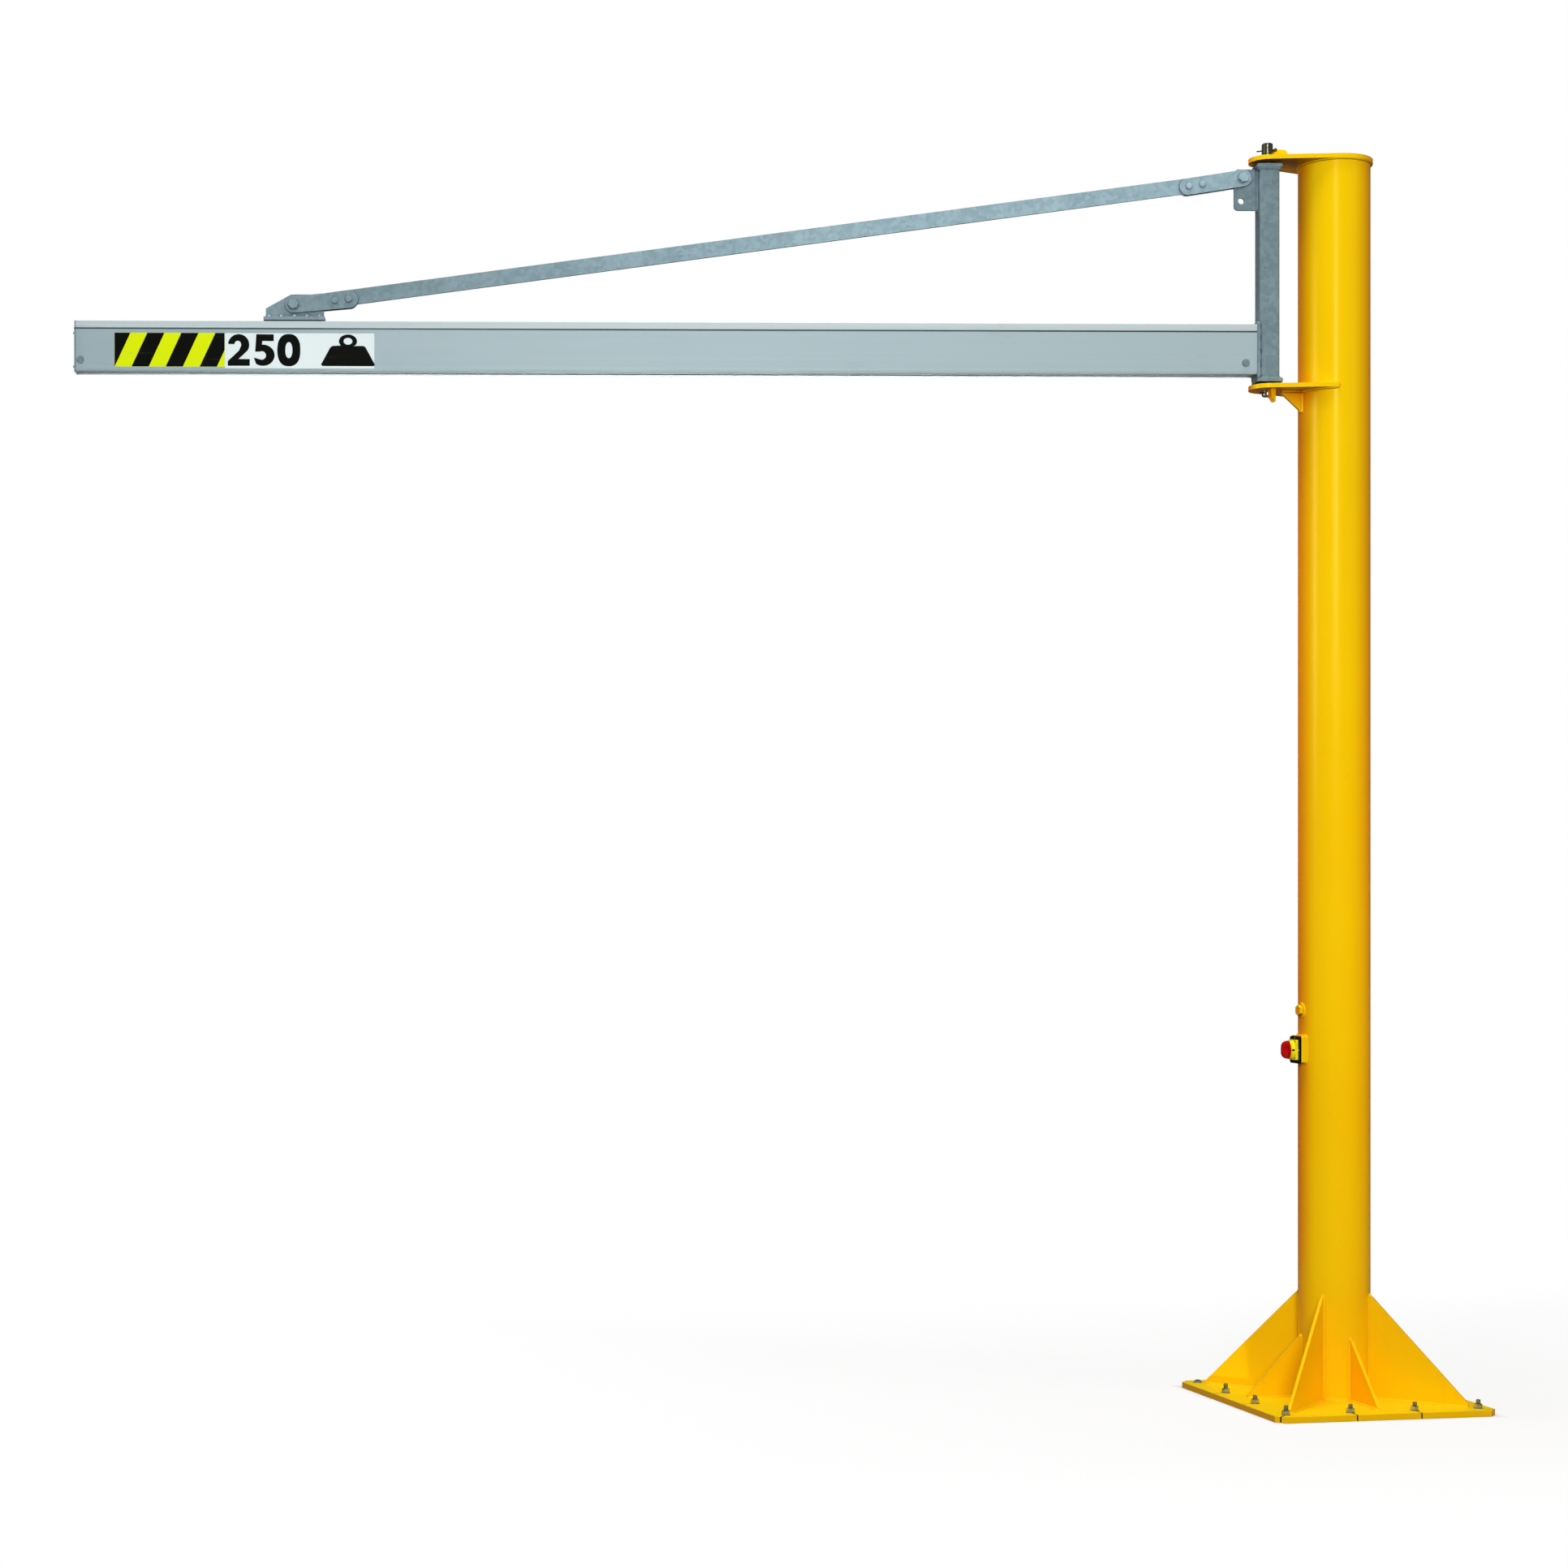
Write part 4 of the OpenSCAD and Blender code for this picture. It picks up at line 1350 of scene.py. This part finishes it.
class CRANE_OT_switch_knob(bpy.types.Operator):
    """Mould the switch's red knob with its rounded, waisted bar"""

    bl_idname = "crane.switch_knob"
    bl_label = "Switch knob"

    def execute(self, context):
        grip = spots("switch_grip", TO_SWITCH)
        foot, top = (f(p.z for p in grip) for f in (min, max))
        radius = max(p.xy.length for p in grip)
        skirt = foot + 0.005
        shape = Shape()
        shape.lathe([(radius - 0.0008, foot), (radius, foot + 0.0008), (radius, skirt - 0.0012),
                     (radius - 0.0012, skirt), (radius * 0.9, skirt + 0.0002),
                     (radius * 0.6, skirt + 0.0009), (0.002, skirt + 0.0012)], 72)
        # sections of the bar, from one end to the other
        rows, steps, half, buried = [], 44, radius - 0.001, foot + 0.003
        for k in range(steps + 1):
            x = -half * math.cos(math.pi * k / steps) * 0.998
            rise = (top - skirt) * (1 - abs(x / half) ** 3) ** 0.5
            wide = 0.0098 * (1 - abs(x / half) ** 6) ** 0.5 - 0.0022 * math.exp(-(x / 0.015) ** 2)
            row = []
            for i in range(25):
                a = math.pi * i / 24
                y = math.copysign(abs(math.cos(a)) ** 0.55, math.cos(a))
                z = math.sin(a) ** 0.55
                flare = 1 + 0.25 * (1 - z) ** 2
                row.append((x, -y * wide * flare, skirt + rise * z))
            rows.append(row + [(x, row[-1][1], buried), (x, row[0][1], buried)])
        shape.grid(rows)
        knob = shape.build("switch_knob", ["red_plastic"], "switch_handle", "red_plastic",
                           SWITCH, smooth=40)
        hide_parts("switch_grip")
        return {"FINISHED"}


class CRANE_OT_switch_marks(bpy.types.Operator):
    """Add the switch's cover screws, its position marks and the collar's dark notch"""

    bl_idname = "crane.switch_marks"
    bl_label = "Switch details"

    def execute(self, context):
        plate = spots("switch_plate", TO_SWITCH)
        half, top = max(p.x for p in plate), max(p.z for p in plate)
        ledge = max(p.z for p in plate if p.x > half - 0.002)
        collar = max(p.xy.length for p in plate if p.z > top - 0.001)
        self.screws(half - 0.0062, ledge)
        self.notch(collar + 0.0012, ledge + 0.0022)
        rim = turned_box("switch_frame", TO_SWITCH)[1].z
        frame_half = (TO_SWITCH @ Vector(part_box("switch_frame")[1])).x
        self.marks((half + frame_half) / 2, rim - 0.0002, rim + 0.0002)
        return {"FINISHED"}

    def screws(self, corner, ledge):
        head, crown, deep = 0.0028, 0.0016, 0.0006
        shape = Shape()
        for x in (-corner, corner):
            for y in (-corner, corner):
                screw = Shape()
                screw.lathe([(head, -0.001), (head, 0.0008), (head * 0.8, crown - 0.0001),
                             (head * 0.35, crown), (head * 0.3, crown - deep)], 24)
                shape.add(screw, Matrix.Translation((x, y, ledge)))
        shape.build("switch_screws", ["passivated_pin"], "pillar", "zinc_steel", SWITCH)

    def notch(self, side, height):
        """A dark square on the collar's side that faces right when seen from in front."""
        wide = 0.0060
        shape = Shape()
        shape.prism(round_corners(0.0090, wide, 0.0016), -0.002, 0.0012)
        upright = Matrix(((0, 1, 0, -wide / 2), (0, 0, -1, -side), (1, 0, 0, height),
                          (0, 0, 0, 1)))
        shape.build("switch_notch", ["black_plastic"], "pillar", "black_plastic",
                    SWITCH @ upright)

    def marks(self, band, low, high):
        """A bar at the top of the frame and a ring at each side."""
        bar, line_half, inner, outer = 0.0033, 0.0006, 0.0020, 0.0032
        shape = Shape()
        shape.prism([(band - bar, -line_half), (band + bar, -line_half),
                     (band + bar, line_half), (band - bar, line_half)], low, high)
        for s in (1, -1):
            ring = Shape()
            ring.lathe([(inner, low), (outer, low), (outer, high), (inner, high)], 28,
                       closed=True)
            shape.add(ring, Matrix.Translation(ACROSS * s * band))
        shape.build("switch_position_marks", ["sign_white"], "pillar", "black_plastic", SWITCH)


# ---- stage -----------------------------------------------------------------------


def lamp(name, spot, target, size, power, colour=(1, 1, 1), spread=180, glossy=True):
    data = bpy.data.lights.new(name, "AREA")
    data.color = colour
    data.shape = "RECTANGLE"
    data.size, data.size_y = size
    data.energy = power
    data.spread = math.radians(spread)
    piece = bpy.data.objects.new(name, data)
    piece.matrix_world = Matrix.Translation(spot) @ (
        Vector(target) - Vector(spot)).to_track_quat("-Z", "Y").to_matrix().to_4x4()
    piece.visible_glossy = glossy
    bpy.context.scene.collection.objects.link(piece)
    return piece


class CRANE_OT_stage(bpy.types.Operator):
    """Set the camera, the soft lamps, the pale floor and the plain surroundings"""

    bl_idname = "crane.stage"
    bl_label = "Stage"

    def execute(self, context):
        look = context.scene.crane_stage
        self.camera(context.scene, look)
        self.lamps(look)
        self.floor()
        self.surroundings(context.scene, look)
        context.scene.view_settings.view_transform = "Standard"
        return {"FINISHED"}

    def camera(self, scene, look):
        data = bpy.data.cameras.new("camera")
        data.lens = look.lens
        data.sensor_width = 36
        data.shift_x, data.shift_y = look.shift
        data.clip_end = 100
        piece = bpy.data.objects.new("camera", data)
        piece.location = look.eye
        piece.rotation_euler = (math.pi / 2, 0, look.turn)
        scene.collection.objects.link(piece)
        scene.camera = piece

    def lamps(self, look):
        front = math.atan2(look.eye[1], look.eye[0])

        def aside(turn, away, height):
            return heading(front + math.radians(turn)) * away + UP * height

        lamp("key_lamp", aside(6, 9.5, 5.3), (0, 0, 3.4), (0.7, 2.8), look.key)
        left = lamp("left_lamp", aside(-63, 6.5, 3.9), (0, 0, 2.4), (1.3, 2.4), look.side / 2)
        left.visible_diffuse = False
        # the other lamps leave no reflection
        lamp("right_lamp", aside(65, 7.0, 4.8), (0, 0, 1.6), (0.9, 1.8), look.side / 2,
             (1.0, 0.75, 0.45), glossy=False)
        # low, narrow beams of warm light graze both edges of the pillar
        for name, turn, height, tall in (
                ("warm_left", -74, 2.2, 3.4), ("warm_right", 74, 1.4, 2.4)):
            lamp(name, aside(turn, 6.5, height), UP * height, (0.9, tall), look.warm,
                 (1.0, 0.25, 0.0), spread=20, glossy=False)
        lamp("fill_lamp", aside(5, 11, 4.1), (-0.6, 0, 0.8), (5, 1.8), look.fill, glossy=False)
        lamp("top_lamp", (-1.3, 0.2, 9.5), (-1.3, 0.2, 0), (5, 4), look.top, glossy=False)
        # a narrow lamp on the floor reaches the underside of the beam
        inner, outer = turned_box("beam")
        mid = (inner.x + outer.x) / 2
        under = lamp("under_lamp", JIB @ Vector((mid, 0, 0.05)), JIB @ Vector((mid, 0, inner.z)),
                     (outer.x - inner.x + 0.3, 0.3), look.under, spread=26, glossy=False)
        under.visible_camera = False

    def floor(self):
        """Pale ground that keeps the shadow near the foot and runs out into white."""
        f = Finish("studio_floor")
        x, y, _ = f.split(f.place)
        away = x.math("MAXIMUM", abs(x), abs(y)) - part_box("base_plate")[1].x
        far = f.ease(away, 0.004, 0.03, 0.0, 0.72) + f.ease(away, 0.0, 2.6, 0.0, 0.28)
        seen = f.value("ShaderNodeLightPath", output="Is Camera Ray")
        level = f.mix(seen, (0.14, 0.14, 0.14, 1), (0.9, 0.9, 0.9, 1))
        lit = f.add("ShaderNodeBsdfDiffuse", {}, {"Color": level})
        glow = f.add("ShaderNodeEmission", {}, {"Strength": 1.0})
        blend = f.add("ShaderNodeMixShader", {}, {
            0: far * seen, 1: lit.outputs[0], 2: glow.outputs[0]})
        f.add("ShaderNodeOutputMaterial", {}, {"Surface": blend.outputs[0]})
        mesh = bpy.data.meshes.new("studio_floor")
        edge, radius = 96, 16
        mesh.from_pydata([heading(TAU * k / edge) * radius - UP * 0.0008 for k in range(edge)],
                         [], [tuple(range(edge))])
        mesh.materials.append(f.material)
        piece = bpy.data.objects.new("studio_floor", mesh)
        bpy.context.scene.collection.objects.link(piece)

    def surroundings(self, scene, look):
        """White to the camera, dim in reflections and as a source of light."""
        f = Finish("studio_world", bpy.data.worlds)
        seen = f.value("ShaderNodeLightPath", output="Is Camera Ray")
        mirrored = f.value("ShaderNodeLightPath", output="Is Glossy Ray")
        level = look.ambient + mirrored * (look.mirrored - look.ambient)
        light = f.add("ShaderNodeBackground", {}, {
            "Color": f.mix(seen, (1.0, 0.98, 0.95, 1), (1, 1, 1, 1)),
            "Strength": level * (1 - seen) + seen})
        f.add("ShaderNodeOutputWorld", {}, {"Surface": light.outputs[0]})
        scene.world = f.material


# ---- add-on ----------------------------------------------------------------------

OPERATORS = (
    CRANE_OT_finishes, CRANE_OT_anchors, CRANE_OT_foot_welds, CRANE_OT_bracket_welds,
    CRANE_OT_switch_welds, CRANE_OT_jib_welds, CRANE_OT_link_bolts, CRANE_OT_foot_screws,
    CRANE_OT_cap_screws, CRANE_OT_tape, CRANE_OT_sign, CRANE_OT_switch_knob,
    CRANE_OT_switch_marks, CRANE_OT_stage,
)


class CRANE_PT_panel(bpy.types.Panel):
    """Settings and steps of the crane's finish"""

    bl_idname = "CRANE_PT_panel"
    bl_label = "Jib Crane"
    bl_space_type = "VIEW_3D"
    bl_region_type = "UI"
    bl_category = "Jib Crane"

    def draw(self, context):
        layout = self.layout
        for name, group in SETTINGS.items():
            box = layout.box()
            for key in group.__annotations__:
                box.prop(getattr(context.scene, name), key)
        for operator in OPERATORS:
            layout.operator(operator.bl_idname)


CLASSES = tuple(SETTINGS.values()) + OPERATORS + (CRANE_PT_panel,)


def register():
    for cls in CLASSES:
        bpy.utils.register_class(cls)
    for name, group in SETTINGS.items():
        setattr(bpy.types.Scene, name, PointerProperty(type=group))


def unregister():
    for name in SETTINGS:
        delattr(bpy.types.Scene, name)
    for cls in reversed(CLASSES):
        bpy.utils.unregister_class(cls)


def main():
    register()
    for operator in OPERATORS:
        step = getattr(bpy.ops.crane, operator.bl_idname.split(".")[1])
        if step() != {"FINISHED"}:
            raise RuntimeError(f"{operator.bl_label} did not finish")


if __name__ == "__main__":
    main()
